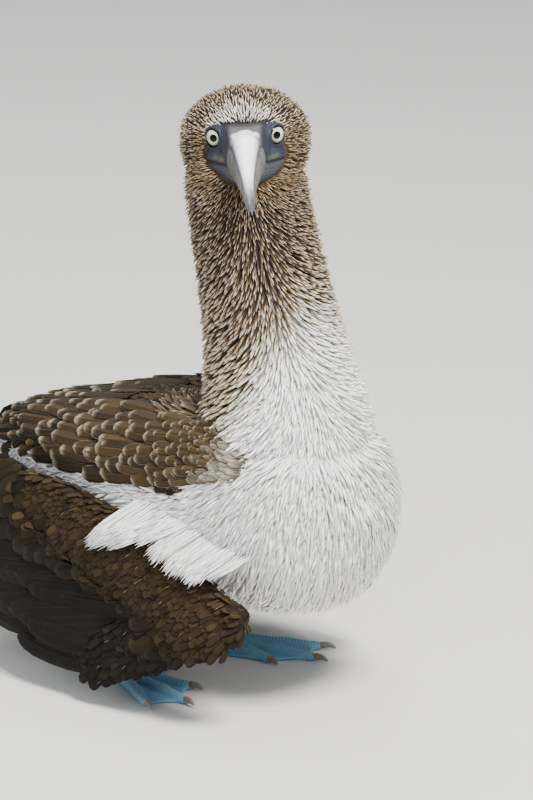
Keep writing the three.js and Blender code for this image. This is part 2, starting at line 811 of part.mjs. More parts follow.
const torsoGrown = torsoBody.solid(24, 15, GAP);
const neckGrown = neckBody.solid(20, 12, GAP);
const tufts = [1, -1].map((side) => {
  const loose = joined(flankTufts(side));
  return loose.subtract(forearm(side, GAP)).subtract(hand(side, GAP));
});
place("torso", largestPiece(joined([flesh.torso, ...tufts])), "white");
place("tail", largestPiece(tailFeathers().subtract(before(RUMP_CUT + GAP / 2))), "flight");

for (const [side, name] of [
  [1, "left"],
  [-1, "right"],
]) {
  const forearmGrown = forearm(side, GAP);
  place(`forearm_${name}`, largestPiece(forearm(side).subtract(torsoGrown)), "wing");
  place(`hand_${name}`, largestPiece(hand(side).subtract(forearmGrown).subtract(torsoGrown)), "flight");
  const mantle = scapulars(side).subtract(torsoGrown).subtract(neckGrown).subtract(forearmGrown);
  place(`scapulars_${name}`, largestPiece(mantle), "mantle");
  const shankGrown = shank(side, GAP);
  place(`thigh_${name}`, largestPiece(thigh(side).subtract(torsoGrown).subtract(shankGrown)), "white");
  place(`shank_${name}`, largestPiece(shank(side).subtract(below(SHANK_FOOT_CUT - BODY_RAISE))), "foot");

  const footGroup = new THREE.Group();
  footGroup.position.set(side * FOOT_APART, FOOT_BACK, -BODY_RAISE);
  footGroup.rotation.z = side * FOOT_SPLAY;
  frame.add(footGroup);
  const claws = TOES.map((toe) => clawSolid(toe, side));
  place(`foot_${name}`, largestPiece(joined([footSolid(side), ...claws])), "foot", footGroup);
}

export default bird;
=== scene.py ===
# %% [markdown]
# A blue footed booby, life size
#
# The bird crouches over its feet with its neck up, its head turned to look over its right shoulder and
# both wings let down. The frame holds its plain solids. This lesson dresses them: a seamless skin, a coat
# of more than twenty thousand small feathers, long wing and tail feathers, bare skin, a horn bill, eyes
# and feet.
#
# Sizes are in millimetres, as a bird is measured, and only the last step of each piece turns them to
# metres.

# %% Load the frame
import math

import bpy
import numpy as np
from mathutils import Matrix, Vector, kdtree
from mathutils.bvhtree import BVHTree


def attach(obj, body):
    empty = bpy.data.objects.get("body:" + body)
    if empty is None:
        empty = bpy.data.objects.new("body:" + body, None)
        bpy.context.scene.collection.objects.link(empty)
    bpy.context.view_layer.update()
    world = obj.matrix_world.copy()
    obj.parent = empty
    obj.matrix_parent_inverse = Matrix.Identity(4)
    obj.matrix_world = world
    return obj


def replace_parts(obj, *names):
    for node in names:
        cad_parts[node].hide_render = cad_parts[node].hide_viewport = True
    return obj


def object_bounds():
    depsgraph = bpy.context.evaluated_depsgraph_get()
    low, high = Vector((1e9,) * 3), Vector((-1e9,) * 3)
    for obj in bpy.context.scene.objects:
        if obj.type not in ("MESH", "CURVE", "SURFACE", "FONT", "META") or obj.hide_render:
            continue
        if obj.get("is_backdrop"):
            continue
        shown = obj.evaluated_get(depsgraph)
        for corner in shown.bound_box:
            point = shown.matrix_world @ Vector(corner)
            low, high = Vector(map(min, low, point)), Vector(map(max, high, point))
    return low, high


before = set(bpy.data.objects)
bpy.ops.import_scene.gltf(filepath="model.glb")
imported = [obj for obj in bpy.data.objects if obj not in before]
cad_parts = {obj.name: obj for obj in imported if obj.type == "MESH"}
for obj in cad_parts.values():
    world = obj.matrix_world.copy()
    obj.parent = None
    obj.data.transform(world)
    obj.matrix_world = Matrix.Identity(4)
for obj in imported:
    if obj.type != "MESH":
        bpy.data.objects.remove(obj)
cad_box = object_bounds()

bpy.ops.object.select_all(action="DESELECT")
print("solids:", len(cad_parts), "height in mm:", round(cad_box[1].z * 1000))

# %% [markdown]
# Camera, floor and light
#
# The view is from the bird's right front, a little above it, through a long lens, so that the bill points
# at the viewer. A big soft lamp stands above and in front like a bright hazy sky, and weaker ones stand at
# the bird's right side and behind it.

# %% Camera
MM = 0.001
VIEW_AZIMUTH = math.radians(-47)
VIEW_ELEVATION = math.radians(15)
VIEW_DISTANCE = 3.5
VIEW_CENTRE = Vector((0, -0.1662, 0.2054))
VIEW_HEIGHT_ANGLE = math.radians(8.9)


def direction(azimuth, elevation):
    """The unit vector from the bird towards a place round it."""
    flat = math.cos(elevation)
    return Vector((math.sin(azimuth) * flat, -math.cos(azimuth) * flat, math.sin(elevation)))


def aimed(thing, place, target):
    thing.location = place
    thing.rotation_euler = (target - place).to_track_quat("-Z", "Y").to_euler()


camera = bpy.data.objects.new("camera", bpy.data.cameras.new("camera"))
bpy.context.scene.collection.objects.link(camera)
aimed(camera, VIEW_CENTRE + direction(VIEW_AZIMUTH, VIEW_ELEVATION) * VIEW_DISTANCE, VIEW_CENTRE)
camera.data.sensor_fit = "VERTICAL"
camera.data.angle = VIEW_HEIGHT_ANGLE
camera.data.clip_end = 50
bpy.context.scene.camera = camera

# %% Floor and lamps
FLOOR_SIZE = 40
bpy.ops.mesh.primitive_plane_add(size=FLOOR_SIZE)
floor = bpy.context.active_object
floor.name = "floor"
floor_paint = bpy.data.materials.new("floor_paint")
floor_paint.use_nodes = True
floor_shader = floor_paint.node_tree.nodes["Principled BSDF"]
floor_shader.inputs["Base Color"].default_value = (0.66, 0.65, 0.63, 1)
floor_shader.inputs["Roughness"].default_value = 0.9
floor.data.materials.append(floor_paint)
floor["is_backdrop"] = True

world = bpy.data.worlds.new("pale_room")
world.use_nodes = True
world.node_tree.nodes["Background"].inputs["Color"].default_value = (0.82, 0.86, 0.92, 1)
world.node_tree.nodes["Background"].inputs["Strength"].default_value = 0.72
bpy.context.scene.world = world

# Azimuth, elevation, distance, size, watts and tint.
LAMPS = {
    "key": (math.radians(-18), math.radians(56), 2.4, 0.8, 160, (1.0, 0.975, 0.93)),
    "fill": (math.radians(-100), math.radians(28), 2.6, 1.6, 20, (0.92, 0.96, 1.0)),
    "back": (math.radians(150), math.radians(50), 2.6, 1.4, 38, (1.0, 0.98, 0.95)),
}
for name, (azimuth, elevation, distance, size, watts, tint) in LAMPS.items():
    lamp = bpy.data.objects.new(name, bpy.data.lights.new(name, "AREA"))
    lamp.data.size = size
    lamp.data.energy = watts
    lamp.data.color = tint
    bpy.context.scene.collection.objects.link(lamp)
    aimed(lamp, VIEW_CENTRE + direction(azimuth, elevation) * distance, VIEW_CENTRE)
print("lamps:", len(LAMPS))

# %% [markdown]
# The body as rings along a spine
#
# A bird's flesh is a string of rounded sections: torso, neck and head. Each station below gives a
# section's middle, its half width and its reach up and down. A sphere primitive is the start of each form.
# Its vertices are moved onto the rings, which keeps its clean poles. The head turns about the point
# between the eyes.

# %% Splines and spine bodies
BODY_MIDDLE = 89
BODY_RAISE = 5
SHIFT = np.array((0.0, -BODY_MIDDLE, BODY_RAISE))
BODY_HALF_WIDTH = 80
TORSO_AXIS_HEIGHT = 131
SIDES = ((1, "left"), (-1, "right"))
EYE_MIDPOINT = Vector((-25.5, -81.5, 388))
HEAD_TURN = math.radians(-46)
HEAD_NOD = math.radians(8)
HEAD_ROLL = math.radians(-2.6)

head_pose = (
    Matrix.Translation(EYE_MIDPOINT)
    @ Matrix.Rotation(HEAD_TURN, 4, "Z")
    @ Matrix.Rotation(HEAD_NOD, 4, "X")
    @ Matrix.Rotation(HEAD_ROLL, 4, "Y")
)
HEAD_MATRIX = np.array(head_pose)


def from_head(points):
    """Points in the head's own frame, bill along -Y, moved to the body's frame."""
    return np.asarray(points, float) @ HEAD_MATRIX[:3, :3].T + HEAD_MATRIX[:3, 3]


def to_head(points):
    return (np.asarray(points, float) - HEAD_MATRIX[:3, 3]) @ HEAD_MATRIX[:3, :3]


def spline(rows, share):
    """A smooth curve through rows of numbers, at shares from 0 to 1 of its length."""
    rows = np.asarray(rows, float)
    place = np.clip(share, 0, 1) * (len(rows) - 1)
    i = np.minimum(place.astype(int), len(rows) - 2)
    f = (place - i)[:, None]
    padded = np.vstack([2 * rows[0] - rows[1], rows, 2 * rows[-1] - rows[-2]])
    a, b, c, d = (padded[i + k] for k in range(4))
    return 0.5 * (2 * b + (c - a) * f + (2 * a - 5 * b + 4 * c - d) * f**2 + (3 * b - a - 3 * c + d) * f**3)


def unit(vectors):
    return vectors / np.maximum(np.linalg.norm(vectors, axis=-1, keepdims=True), 1e-9)


def smoothstep(value, low, high):
    t = np.clip((value - low) / (high - low), 0, 1)
    return t * t * (3 - 2 * t)


class SpineBody:
    """Rings along a spine: stations of middle x, y, z, half width, reach up and reach down."""

    def __init__(self, stations, start_cap=0.12, end_cap=0.12, square=2.0, across=(1, 0, 0), up=(0, 0, 1)):
        self.stations = np.asarray(stations, float)
        self.caps = (start_cap, end_cap)
        self.square = square
        self.across = np.asarray(across, float)
        self.up = np.asarray(up, float)

    def swell(self, share):
        start, end = self.caps
        into_start = np.maximum(0, 1 - share / start) if start else 0 * share
        into_end = np.maximum(0, 1 - (1 - share) / end) if end else 0 * share
        return np.sqrt(np.maximum(0, 1 - np.maximum(into_start, into_end) ** 2))

    def point(self, share, angle, grow=0.0):
        """Angle 0 is up, and a quarter turn is to the +across side."""
        share, angle = np.broadcast_arrays(np.asarray(share, float), np.asarray(angle, float))
        rows = spline(self.stations, share)
        ahead = spline(self.stations[:, :3], share + 1e-3) - spline(self.stations[:, :3], share - 1e-3)
        along = unit(ahead)
        side = unit(self.across - along * (along @ self.across)[:, None])
        up = unit(np.cross(side, along))
        up = up * np.sign(up @ self.up)[:, None]
        power = 2 / self.square
        s, c = np.sin(angle), np.cos(angle)
        swell = self.swell(share)
        rise = np.where(c > 0, rows[:, 4], rows[:, 5])
        out = np.sign(s) * np.abs(s) ** power * (rows[:, 3] * swell + grow)
        lift = np.sign(c) * np.abs(c) ** power * (rise * swell + grow)
        push = np.where(share < 0.5, -grow, grow) * (1 - swell)
        return rows[:, :3] + side * out[:, None] + up * lift[:, None] + along * push[:, None]


def placed(points):
    """Body millimetres to scene metres."""
    return (np.asarray(points, float) + SHIFT) * MM


def body_places(metres):
    """Scene metres to body millimetres."""
    return np.asarray(metres, float) / MM - SHIFT


def unit_ball(name, segments, rings):
    bpy.ops.object.select_all(action="DESELECT")
    bpy.ops.mesh.primitive_uv_sphere_add(segments=segments, ring_count=rings, radius=1)
    piece = bpy.context.active_object
    piece.name = name
    return piece


def lofted(name, body, sides, rings, grow=0.0, in_head=False):
    """A sphere primitive with its vertices moved onto the rings of a spine body."""
    piece = unit_ball(name, sides, rings)
    ball = vertices_of(piece)
    even = np.arccos(np.clip(ball[:, 2], -1, 1)) / np.pi
    flat_start, flat_end = (0 if cap else 1 / rings for cap in body.caps)
    even = np.clip((even - flat_start) / (1 - flat_start - flat_end), 0, 1)
    share = (even + (1 - np.cos(np.pi * even)) / 2) / 2
    angle = np.arctan2(ball[:, 0], ball[:, 1])
    points = body.point(share, angle, grow)
    poles = np.abs(ball[:, 2]) > 1 - 1e-6
    points[poles] = spline(body.stations[:, :3], share[poles])
    set_vertices(piece, from_head(points) if in_head else points)
    turned_outward(piece)
    return piece


def read(items, key, width=1, kind=float):
    """One property of many mesh elements as an array."""
    values = np.zeros(len(items) * width, kind)
    items.foreach_get(key, values)
    return values.reshape(-1, width) if width > 1 else values


def vertices_of(piece):
    return read(piece.data.vertices, "co", 3)


def body_points(piece):
    return body_places(vertices_of(piece))


def set_vertices(piece, points):
    """Vertices moved to places in body millimetres."""
    piece.data.vertices.foreach_set("co", placed(points).ravel())
    piece.data.update()


def add_share(piece, name, values):
    """A value from 0 to 1 kept at each vertex, which materials read."""
    layer = piece.data.attributes.new(name, "FLOAT", "POINT")
    layer.data.foreach_set("value", np.asarray(values, np.float32).ravel())


def add_unwrap(piece, uv):
    piece.data.uv_layers.new(name="OFBake").data.foreach_set("uv", uv.ravel())


def turned_outward(piece):
    """Doubles merged, then every face turned to point out."""
    activate(piece)
    bpy.ops.object.mode_set(mode="EDIT")
    bpy.ops.mesh.select_all(action="SELECT")
    bpy.ops.mesh.remove_doubles(threshold=1e-6)
    bpy.ops.mesh.normals_make_consistent(inside=False)
    bpy.ops.object.mode_set(mode="OBJECT")


def activate(piece):
    bpy.ops.object.select_all(action="DESELECT")
    piece.select_set(True)
    bpy.context.view_layer.objects.active = piece


def smooth(piece):
    activate(piece)
    bpy.ops.object.shade_smooth()


def joined(name, pieces):
    activate(pieces[0])
    for piece in pieces[1:]:
        piece.select_set(True)
    bpy.ops.object.join()
    whole = bpy.context.active_object
    whole.name = name
    return whole


def with_modifier(piece, kind, **settings):
    """A modifier set up and applied at once."""
    activate(piece)
    modifier = piece.modifiers.new(kind.lower(), kind)
    for key, value in settings.items():
        setattr(modifier, key, value)
    bpy.ops.object.modifier_apply(modifier=modifier.name)
    return piece


def fused(name, pieces, voxel, smoothing=6, strength=0.5):
    """Closed forms melted into one surface, with the steps of the voxels smoothed away."""
    whole = joined(name, pieces) if len(pieces) > 1 else pieces[0]
    whole.name = name
    with_modifier(whole, "REMESH", mode="VOXEL", voxel_size=voxel * MM)
    with_modifier(whole, "SMOOTH", factor=strength, iterations=smoothing)
    smooth(whole)
    return whole


# %% The stations of torso, neck and head
torso = SpineBody(
    [
        (0, -169, 139, 40, 40, 40),
        (0, -146, 137, 62, 60, 60),
        (0, -118, 134, 75, 70, 72),
        (0, -80, 131, BODY_HALF_WIDTH, 77, 75),
        (0, -30, 129, BODY_HALF_WIDTH, 73, 75),
        (0, 20, 129, 77, 65, 72),
        (0, 70, 132, 66, 50, 62),
        (0, 115, 135, 50, 36, 44),
        (0, 150, 133, 36, 25, 28),
        (0, 172, 130, 28, 18, 20),
    ],
    start_cap=0.16,
    end_cap=0.08,
    square=2.25,
)
rump = SpineBody(
    [
        (0, 140, 133, 38, 27, 30),
        (0, 165, 128, 32, 17, 20),
        (0, 190, 122, 27, 8, 9),
        (0, 212, 116, 16, 3, 3),
    ],
    start_cap=0.2,
    end_cap=0.2,
)
neck = SpineBody(
    [
        (0, -88, 140, 72, 60, 66),
        (0, -92, 178, 66, 56, 62),
        (0, -90, 212, 56.5, 49, 53),
        (-1, -83, 250, 48.5, 44, 46),
        (-4, -76, 290, 45, 41, 42),
        (-7, -69, 330, 43.5, 40, 40),
        (-6, -64, 350, 43, 39, 37),
        (-5, -60, 366, 39, 36, 31),
        (-4, -58, 380, 28, 28, 24),
    ],
    start_cap=0.1,
    end_cap=0.1,
    up=(0, 1, 0),
)
head = SpineBody(
    [
        (0, 62, -10, 26, 16, 32),
        (0, 50, -10, 36, 27, 40),
        (0, 36, -10, 42.5, 33.5, 44),
        (0, 26, -10, 43.5, 37.5, 45),
        (0, 16, -10, 40, 37.3, 42),
        (0, 9, -10, 32.5, 34.5, 33),
        (0, 4, -10, 25, 31, 23),
        (0, 0, -10, 17, 28.2, 13),
        (0, -3, -10, 14, 25.6, 8),
    ],
    start_cap=0.14,
    end_cap=0.1,
)


def thigh(side):
    return SpineBody(
        [
            (side * 45, -2, 92, 24, 24, 24),
            (side * 49, 22, 66, 19, 18, 18),
            (side * 52, 42, 50, 8, 8, 8),
        ],
        start_cap=0.1,
        end_cap=0.16,
        up=(0, 1, 0),
    )


# %% [markdown]
# Surfaces that rows of feathers lie on
#
# Rows of feathers are laid on surfaces with two directions: the side of the torso, the let down wing, the
# mound of the shoulder feathers, the flank where it swells out over the wing, and the tail. Each takes a
# place along, a place across and a height above the surface.

# %% Torso, wing, shoulder, flank and tail surfaces
TORSO_ALONG = (-169, 172)
AROUND_RADIUS = 76
LEFT_WING_BACK = 42
MOUND_AT = (10, 58)
MOUND_LONG, MOUND_WIDE, MOUND_THICK, MOUND_HEIGHT = 100, 44, 7, 1
MOUND = (MOUND_AT, MOUND_LONG, MOUND_WIDE, MOUND_THICK)
FLANK_CENTRE_HEIGHT = 130
FLANK_REACH = 75
RUMP_CUT = 146


def wing_back(side):
    return LEFT_WING_BACK if side > 0 else 0


def torso_surface(side):
    def surface(along, around, height):
        share = np.clip((along - TORSO_ALONG[0]) / (TORSO_ALONG[1] - TORSO_ALONG[0]), 0.02, 0.98)
        return torso.point(share, side * around / AROUND_RADIUS, height)

    return surface


def wing_surface(side):
    def surface(along, up, height):
        drop = np.clip((165 - up) / 135, -0.1, 1.1)
        taper = 0.21 * np.maximum(0, along - 60) + 0.12 * np.maximum(0, -70 - along)
        return np.column_stack([side * (77 + 36 * drop - taper + height), along + wing_back(side), up])

    return surface


def mound_height(along, around):
    a = (along - MOUND_AT[0]) / MOUND_LONG
    b = (around - MOUND_AT[1]) / MOUND_WIDE
    return MOUND_HEIGHT + MOUND_THICK * np.sqrt(np.maximum(0, 1 - a * a - b * b))


def shoulder_surface(side):
    body = torso_surface(side)
    return lambda along, around, height: body(along, around, mound_height(along, around) + height)


def flank_surface(side, top):
    """The flank down to a height, and from there on the outside of the wing."""
    wing = wing_surface(side)
    body = torso_surface(side)

    def surface(along, up, height):
        over = smoothstep(top - up, 0, 20)
        rise = np.clip((up - FLANK_CENTRE_HEIGHT) / FLANK_REACH, -1, 1)
        flank = np.abs(body(along, AROUND_RADIUS * np.arccos(rise), -3.0 + 0 * up)[:, 0])
        outside = np.maximum(flank + 4, np.abs(wing(along - wing_back(side), up, 10.0)[:, 0]))
        return np.column_stack([side * (flank + (outside - flank) * over + height), along, up])

    return surface


def tail_surface(along, across, height):
    fall = 0.23 * (along - RUMP_CUT) + 0.0012 * across**2
    return np.column_stack([across, along, 133 - fall + height])


def pad(name, surface, at, long, wide, thick, slope=0.0, height=0.0):
    """A sphere primitive pressed onto a surface as a rounded pad."""
    piece = unit_ball(name, 40, 24)
    x, y, z = vertices_of(piece).T
    along = at[0] + y * long * math.cos(slope) - x * wide * math.sin(slope)
    across = at[1] + y * long * math.sin(slope) + x * wide * math.cos(slope)
    set_vertices(piece, surface(along, across, height + z * thick))
    turned_outward(piece)
    return piece


# %% [markdown]
# One skin
#
# No seam shows on a living bird between head, neck, torso and thighs, so their forms are melted into one
# surface by a voxel remesh. It lies inside the solids by the depth of the coat that will grow on it.

# %% The skin
COAT_DEPTH = 3.4
HEAD_COAT_DEPTH = 2.4
SKIN_VOXEL = 2.6

skin = fused(
    "skin",
    [
        lofted("torso_form", torso, 48, 36, -COAT_DEPTH),
        lofted("rump_form", rump, 32, 16, -2.5),
        lofted("neck_form", neck, 40, 24, -COAT_DEPTH),
        lofted("head_form", head, 40, 28, -HEAD_COAT_DEPTH, in_head=True),
        lofted("thigh_form_left", thigh(1), 24, 14, -3),
        lofted("thigh_form_right", thigh(-1), 24, 14, -3),
        pad("mound_form_left", torso_surface(1), *MOUND, height=-3.0),
        pad("mound_form_right", torso_surface(-1), *MOUND, height=-4.0),
    ],
    SKIN_VOXEL,
    smoothing=4,
)
print("skin faces:", len(skin.data.polygons))

# %% [markdown]
# An unwrap that skin and coat share
#
# So that the coat's colours can be baked into flat maps, every feather has a small patch of its own on the
# unwrap.
# Torso, neck and head are each unrolled about their own axis, as a label comes off a can. A feather's
# patch lies where its root is, so it takes the colours of its own place.

# %% Charts of torso, neck and head
TORSO_TOP = 212
HEAD_BOTTOM = 346
CHART_TORSO, CHART_NECK, CHART_HEAD = range(3)
CHART_BANDS = ((0.03, 0.44), (0.49, 0.68), (0.73, 0.97))
CHART_WIDTH = 0.9
PATCH = 0.003


def neck_middle(z):
    """The neck's middle line, as x and y at a height."""
    heights = (140, 212, 250, 290, 330, 366)
    x = np.interp(z, heights, (0, 0, -1, -4, -7, -5))
    return x, np.interp(z, heights, (-88, -90, -83, -76, -69, -60))


def neck_angle(points):
    """Angle round the neck, 0 in front and growing to the bird's left."""
    x, y = neck_middle(points[:, 2])
    return np.arctan2(points[:, 0] - x, y - points[:, 1])


def chart_of(points):
    high = points[:, 2] > TORSO_TOP
    return np.where(points[:, 2] > HEAD_BOTTOM, CHART_HEAD, np.where(high, CHART_NECK, CHART_TORSO))


def chart_coordinates(points, chart):
    """Angle round the chart's axis, and share along it."""
    skull = to_head(points) - (0, 30, -8)
    angles = (
        np.arctan2(points[:, 0], points[:, 2] - TORSO_AXIS_HEIGHT),
        neck_angle(points),
        np.arctan2(skull[:, 0], -skull[:, 1]),
    )
    shares = (
        (points[:, 1] + 170) / 385,
        (points[:, 2] - TORSO_TOP) / (HEAD_BOTTOM - TORSO_TOP),
        0.5 + np.arcsin(np.clip(unit(skull)[:, 2], -1, 1)) / np.pi,
    )
    return np.choose(chart, angles), np.choose(chart, shares)


def unwrapped(points, chart, near_angle=None):
    """Places on the unwrap. An angle that passes the seam stays on the side of near_angle."""
    angle, share = chart_coordinates(points, chart)
    if near_angle is not None:
        angle = near_angle + (angle - near_angle + np.pi) % (2 * np.pi) - np.pi
    low, high = (np.array(ends)[chart] for ends in zip(*CHART_BANDS))
    across = 0.5 + angle / (2 * np.pi) * CHART_WIDTH
    return np.column_stack([across, low + np.clip(share, 0, 1) * (high - low)])


def unwrap_skin(piece):
    mesh = piece.data
    corners = read(mesh.loops, "vertex_index", kind=int)
    sizes = read(mesh.polygons, "loop_total", kind=int)
    centres = body_places(read(mesh.polygons, "center", 3))
    chart = chart_of(centres)
    angle, _ = chart_coordinates(centres, chart)
    points = body_points(piece)[corners]
    add_unwrap(piece, unwrapped(points, np.repeat(chart, sizes), np.repeat(angle, sizes)))


unwrap_skin(skin)

# %% [markdown]
# Where feathers grow
#
# Roots are thrown on the surface at random and any that fall too close to an earlier one are dropped,
# which leaves the even but unruled spacing of real plumage. Each root keeps the skin's normal there.

# %% Scattering roots
def surface_arrays(piece):
    """A piece's vertices, their normals and its triangles."""
    mesh = piece.data
    mesh.calc_loop_triangles()
    triangles = read(mesh.loop_triangles, "vertices", 3, int)
    return body_points(piece), read(mesh.vertex_normals, "vector", 3), triangles


def scattered(piece, spacing, keep, seed, crowd=5):
    """Roots and normals on a piece, no two closer than spacing says, where keep is true."""
    random = np.random.default_rng(seed)
    points, normals, triangles = surface_arrays(piece)
    corners = points[triangles]
    centres = corners.mean(1)
    normal = np.cross(corners[:, 1] - corners[:, 0], corners[:, 2] - corners[:, 0])
    area = np.linalg.norm(normal, axis=1) / 2
    wanted = np.where(keep(centres), area / spacing(centres) ** 2, 0)
    count = int(wanted.sum() * crowd)
    chosen = random.choice(len(triangles), count, p=wanted / wanted.sum())
    weights = random.dirichlet((1, 1, 1), count)
    throws = (corners[chosen] * weights[:, :, None]).sum(1)
    facing = unit((normals[triangles[chosen]] * weights[:, :, None]).sum(1))
    kept = keep(throws)
    throws, facing = throws[kept], facing[kept]
    count = len(throws)
    room = spacing(throws)
    tree = kdtree.KDTree(count)
    for i, throw in enumerate(throws):
        tree.insert(throw, i)
    tree.balance()
    alive = np.ones(count, bool)
    for i in range(count):
        if alive[i]:
            for _, j, _ in tree.find_range(throws[i], room[i]):
                if j > i:
                    alive[j] = False
    return throws[alive], facing[alive]


def even(size):
    return lambda points: np.full(len(points), float(size))


# %% [markdown]
# One feather, many times
#
# A feather is a thin closed blade: rings of a few points along a bent line. A spike's ring is a triangle,
# which suits the narrow feathers of the head. A vane's ring is a shallow arch with a shaft along its
# middle. All blades of a coat are worked out together as arrays and become one mesh.

# %% Sections, outlines and blade meshes
SPIKE_SECTION = np.array([(-1, 0, 0), (1, 0, 0), (0, 0, 1)], float)
LANCE = np.array([(0, 0.5), (0.4, 1), (0.8, 0.75), (1, 0.08)])
PLUME = np.array([(0, 0.6), (0.55, 1), (1, 0.1)])
ROUNDED = np.array([(0, 0.45), (0.3, 0.82), (0.62, 1), (0.85, 0.92), (0.96, 0.64), (1, 0.3)])
FLIGHT = np.array(
    [(0, 0.3), (0.08, 0.6), (0.2, 0.85), (0.4, 1), (0.6, 1)]
    + [(0.78, 0.93), (0.9, 0.74), (0.96, 0.5), (1, 0.12)]
)


def vane_section(columns, shaft=0.35):
    """Across share, camber share and thickness share: the underside from left to right, then back on top."""
    under = [(a, a * a, -0.5) for a in columns[1:-1]]
    over = [(a, a * a, 0.5 + (shaft if a == 0 else 0)) for a in reversed(columns[1:-1])]
    left, right = columns[0], columns[-1]
    return np.array([(left, left * left, 0), *under, (right, right * right, 0), *over])


SMALL_VANE = vane_section((-1, 0, 1), 0)
BODY_VANE = vane_section((-1, -0.5, 0, 0.5, 1))
SHAFTED_VANE = vane_section((-1, -0.62, -0.1, 0, 0.1, 0.62, 1), 0.9)

# Each kind of feather is an outline and a section.
SPIKE = (LANCE, SPIKE_SECTION)
WHITE_PLUME = (PLUME, SPIKE_SECTION)
FLANK_PLUME = (LANCE, SMALL_VANE)
BODY_FEATHER = (ROUNDED, BODY_VANE)
COVERT = (ROUNDED, SHAFTED_VANE)
FLIGHT_FEATHER = (FLIGHT, SHAFTED_VANE)


def stood(roots, normals, lies, length, width, rise, curl, kind, camber=0.0, thick=0.3, sink=0.8):
    """Blades that leave a surface at an angle, rise, and bend by curl on the way to their tips."""
    outline, section = kind
    along = outline[:, 0][None, :, None]
    lies = unit(lies - normals * (lies * normals).sum(1, keepdims=True))
    across = np.cross(lies, normals)
    turn = rise[:, None, None] + curl[:, None, None] * along / 2
    reach = length[:, None, None] * along
    line = roots[:, None] - normals[:, None] * sink
    line = line + reach * (np.cos(turn) * lies[:, None] + np.sin(turn) * normals[:, None])
    facing = turn + curl[:, None, None] * along / 2
    lift = np.cos(facing) * normals[:, None] - np.sin(facing) * lies[:, None]
    half = width[:, None] * outline[:, 1][None] / 2
    out = half[:, :, None] * section[:, 0]
    up = thick * section[:, 2] * np.maximum(outline[:, 1], 0.3)[None, :, None]
    up = up - camber * half[:, :, None] * section[:, 1]
    return line[:, :, None] + across[:, None, None] * out[..., None] + lift[:, :, None] * up[..., None]


def laid(surface, rows, kind, tilt=0.0, bend=0.0, camber=0.0, thick=0.5):
    """Blades laid on a surface of two directions, such as a wing.

    A row holds the root's two places, heading, length, width and the lifts of root and tip.
    """
    outline, section = kind
    root, heading, length, width, lift = rows[:, :2], rows[:, 2], rows[:, 3], rows[:, 4], rows[:, 5:]
    along = outline[:, 0][None, :]
    reach = length[:, None] * along
    middle_a = root[:, :1] + reach * np.cos(heading[:, None] + bend * along / 2)
    middle_b = root[:, 1:] + reach * np.sin(heading[:, None] + bend * along / 2)
    way = (heading[:, None] + bend * along)[..., None]
    half = (width[:, None] * outline[:, 1])[..., None] / 2
    out = half * section[:, 0]
    height = (lift[:, :1] + (lift[:, 1:] - lift[:, :1]) * along)[..., None] + out * tilt
    height = height + thick * section[:, 2] - camber * half * section[:, 1]
    a = middle_a[..., None] - out * np.sin(way)
    b = middle_b[..., None] + out * np.cos(way)
    flat = surface(a.ravel(), b.ravel(), height.ravel())
    return flat.reshape(*a.shape, 3)


def frayed(points, kind, depth, seed):
    """The ends of a vane's barbs pulled back by turns, so that its tip isn't a clean cut."""
    section = kind[1]
    random = np.random.default_rng(seed)
    blade = points[:, -1].mean(1) - points[:, 0].mean(1)
    pull = random.uniform(0, 1, (len(points), len(section))) * (np.abs(section[:, 0]) > 0.05)
    points[:, -1] -= unit(blade)[:, None] * (pull * depth)[..., None]
    points[:, -2] -= unit(blade)[:, None] * (np.roll(pull, 1, 1) * depth * 0.5)[..., None]
    return points


def blade_piece(name, points, kind, root_uv, values, material, body_slot):
    """One mesh of many closed blades, with their shares along and across kept for the material."""
    outline, section = kind
    count, rings, around = points.shape[:3]
    index = np.arange(count * rings * around).reshape(count, rings, around)
    start, end = index[:, :-1], index[:, 1:]
    sides = np.stack([start, end, np.roll(end, -1, 2), np.roll(start, -1, 2)], -1).reshape(-1, 4)
    caps = np.concatenate([index[:, 0], index[:, -1, ::-1]])
    flat = points.reshape(-1, 3)
    corner = flat[sides]
    volume = (corner[:, 0] * np.cross(corner[:, 1] - corner[:, 0], corner[:, 3] - corner[:, 0])).sum()
    if volume < 0:
        sides, caps = sides[:, ::-1], caps[:, ::-1]
    loops = np.concatenate([sides.ravel(), caps.ravel()])
    starts = np.concatenate([np.arange(len(sides)) * 4, sides.size + np.arange(len(caps)) * around])
    mesh = bpy.data.meshes.new(name)
    mesh.vertices.add(len(flat))
    mesh.vertices.foreach_set("co", placed(flat).ravel())
    mesh.loops.add(len(loops))
    mesh.loops.foreach_set("vertex_index", loops.astype(np.int32))
    mesh.polygons.add(len(starts))
    mesh.polygons.foreach_set("loop_start", starts.astype(np.int32))
    mesh.update(calc_edges=True)
    mesh.validate()
    along = np.broadcast_to(outline[:, 0][None, :, None], (count, rings, around))
    across = np.broadcast_to(section[:, 0][None, None, :], (count, rings, around))
    patch = np.stack([across / 2, along - 0.5], -1) * PATCH
    piece = bpy.data.objects.new(name, mesh)
    bpy.context.scene.collection.objects.link(piece)
    for key, share in {"along": along, "across": across, **values}.items():
        share = share if share.ndim == 3 else share[:, None, None]
        add_share(piece, key, np.broadcast_to(share, along.shape))
    add_unwrap(piece, (root_uv[:, None, None] + patch).reshape(-1, 2)[loops])
    mesh.shade_smooth()
    mesh.materials.append(material)
    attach(piece, "root")
    triangles = len(sides) * 2 + len(caps) * (around - 2)
    print(name, "blades:", count, "triangles:", triangles)
    return piece


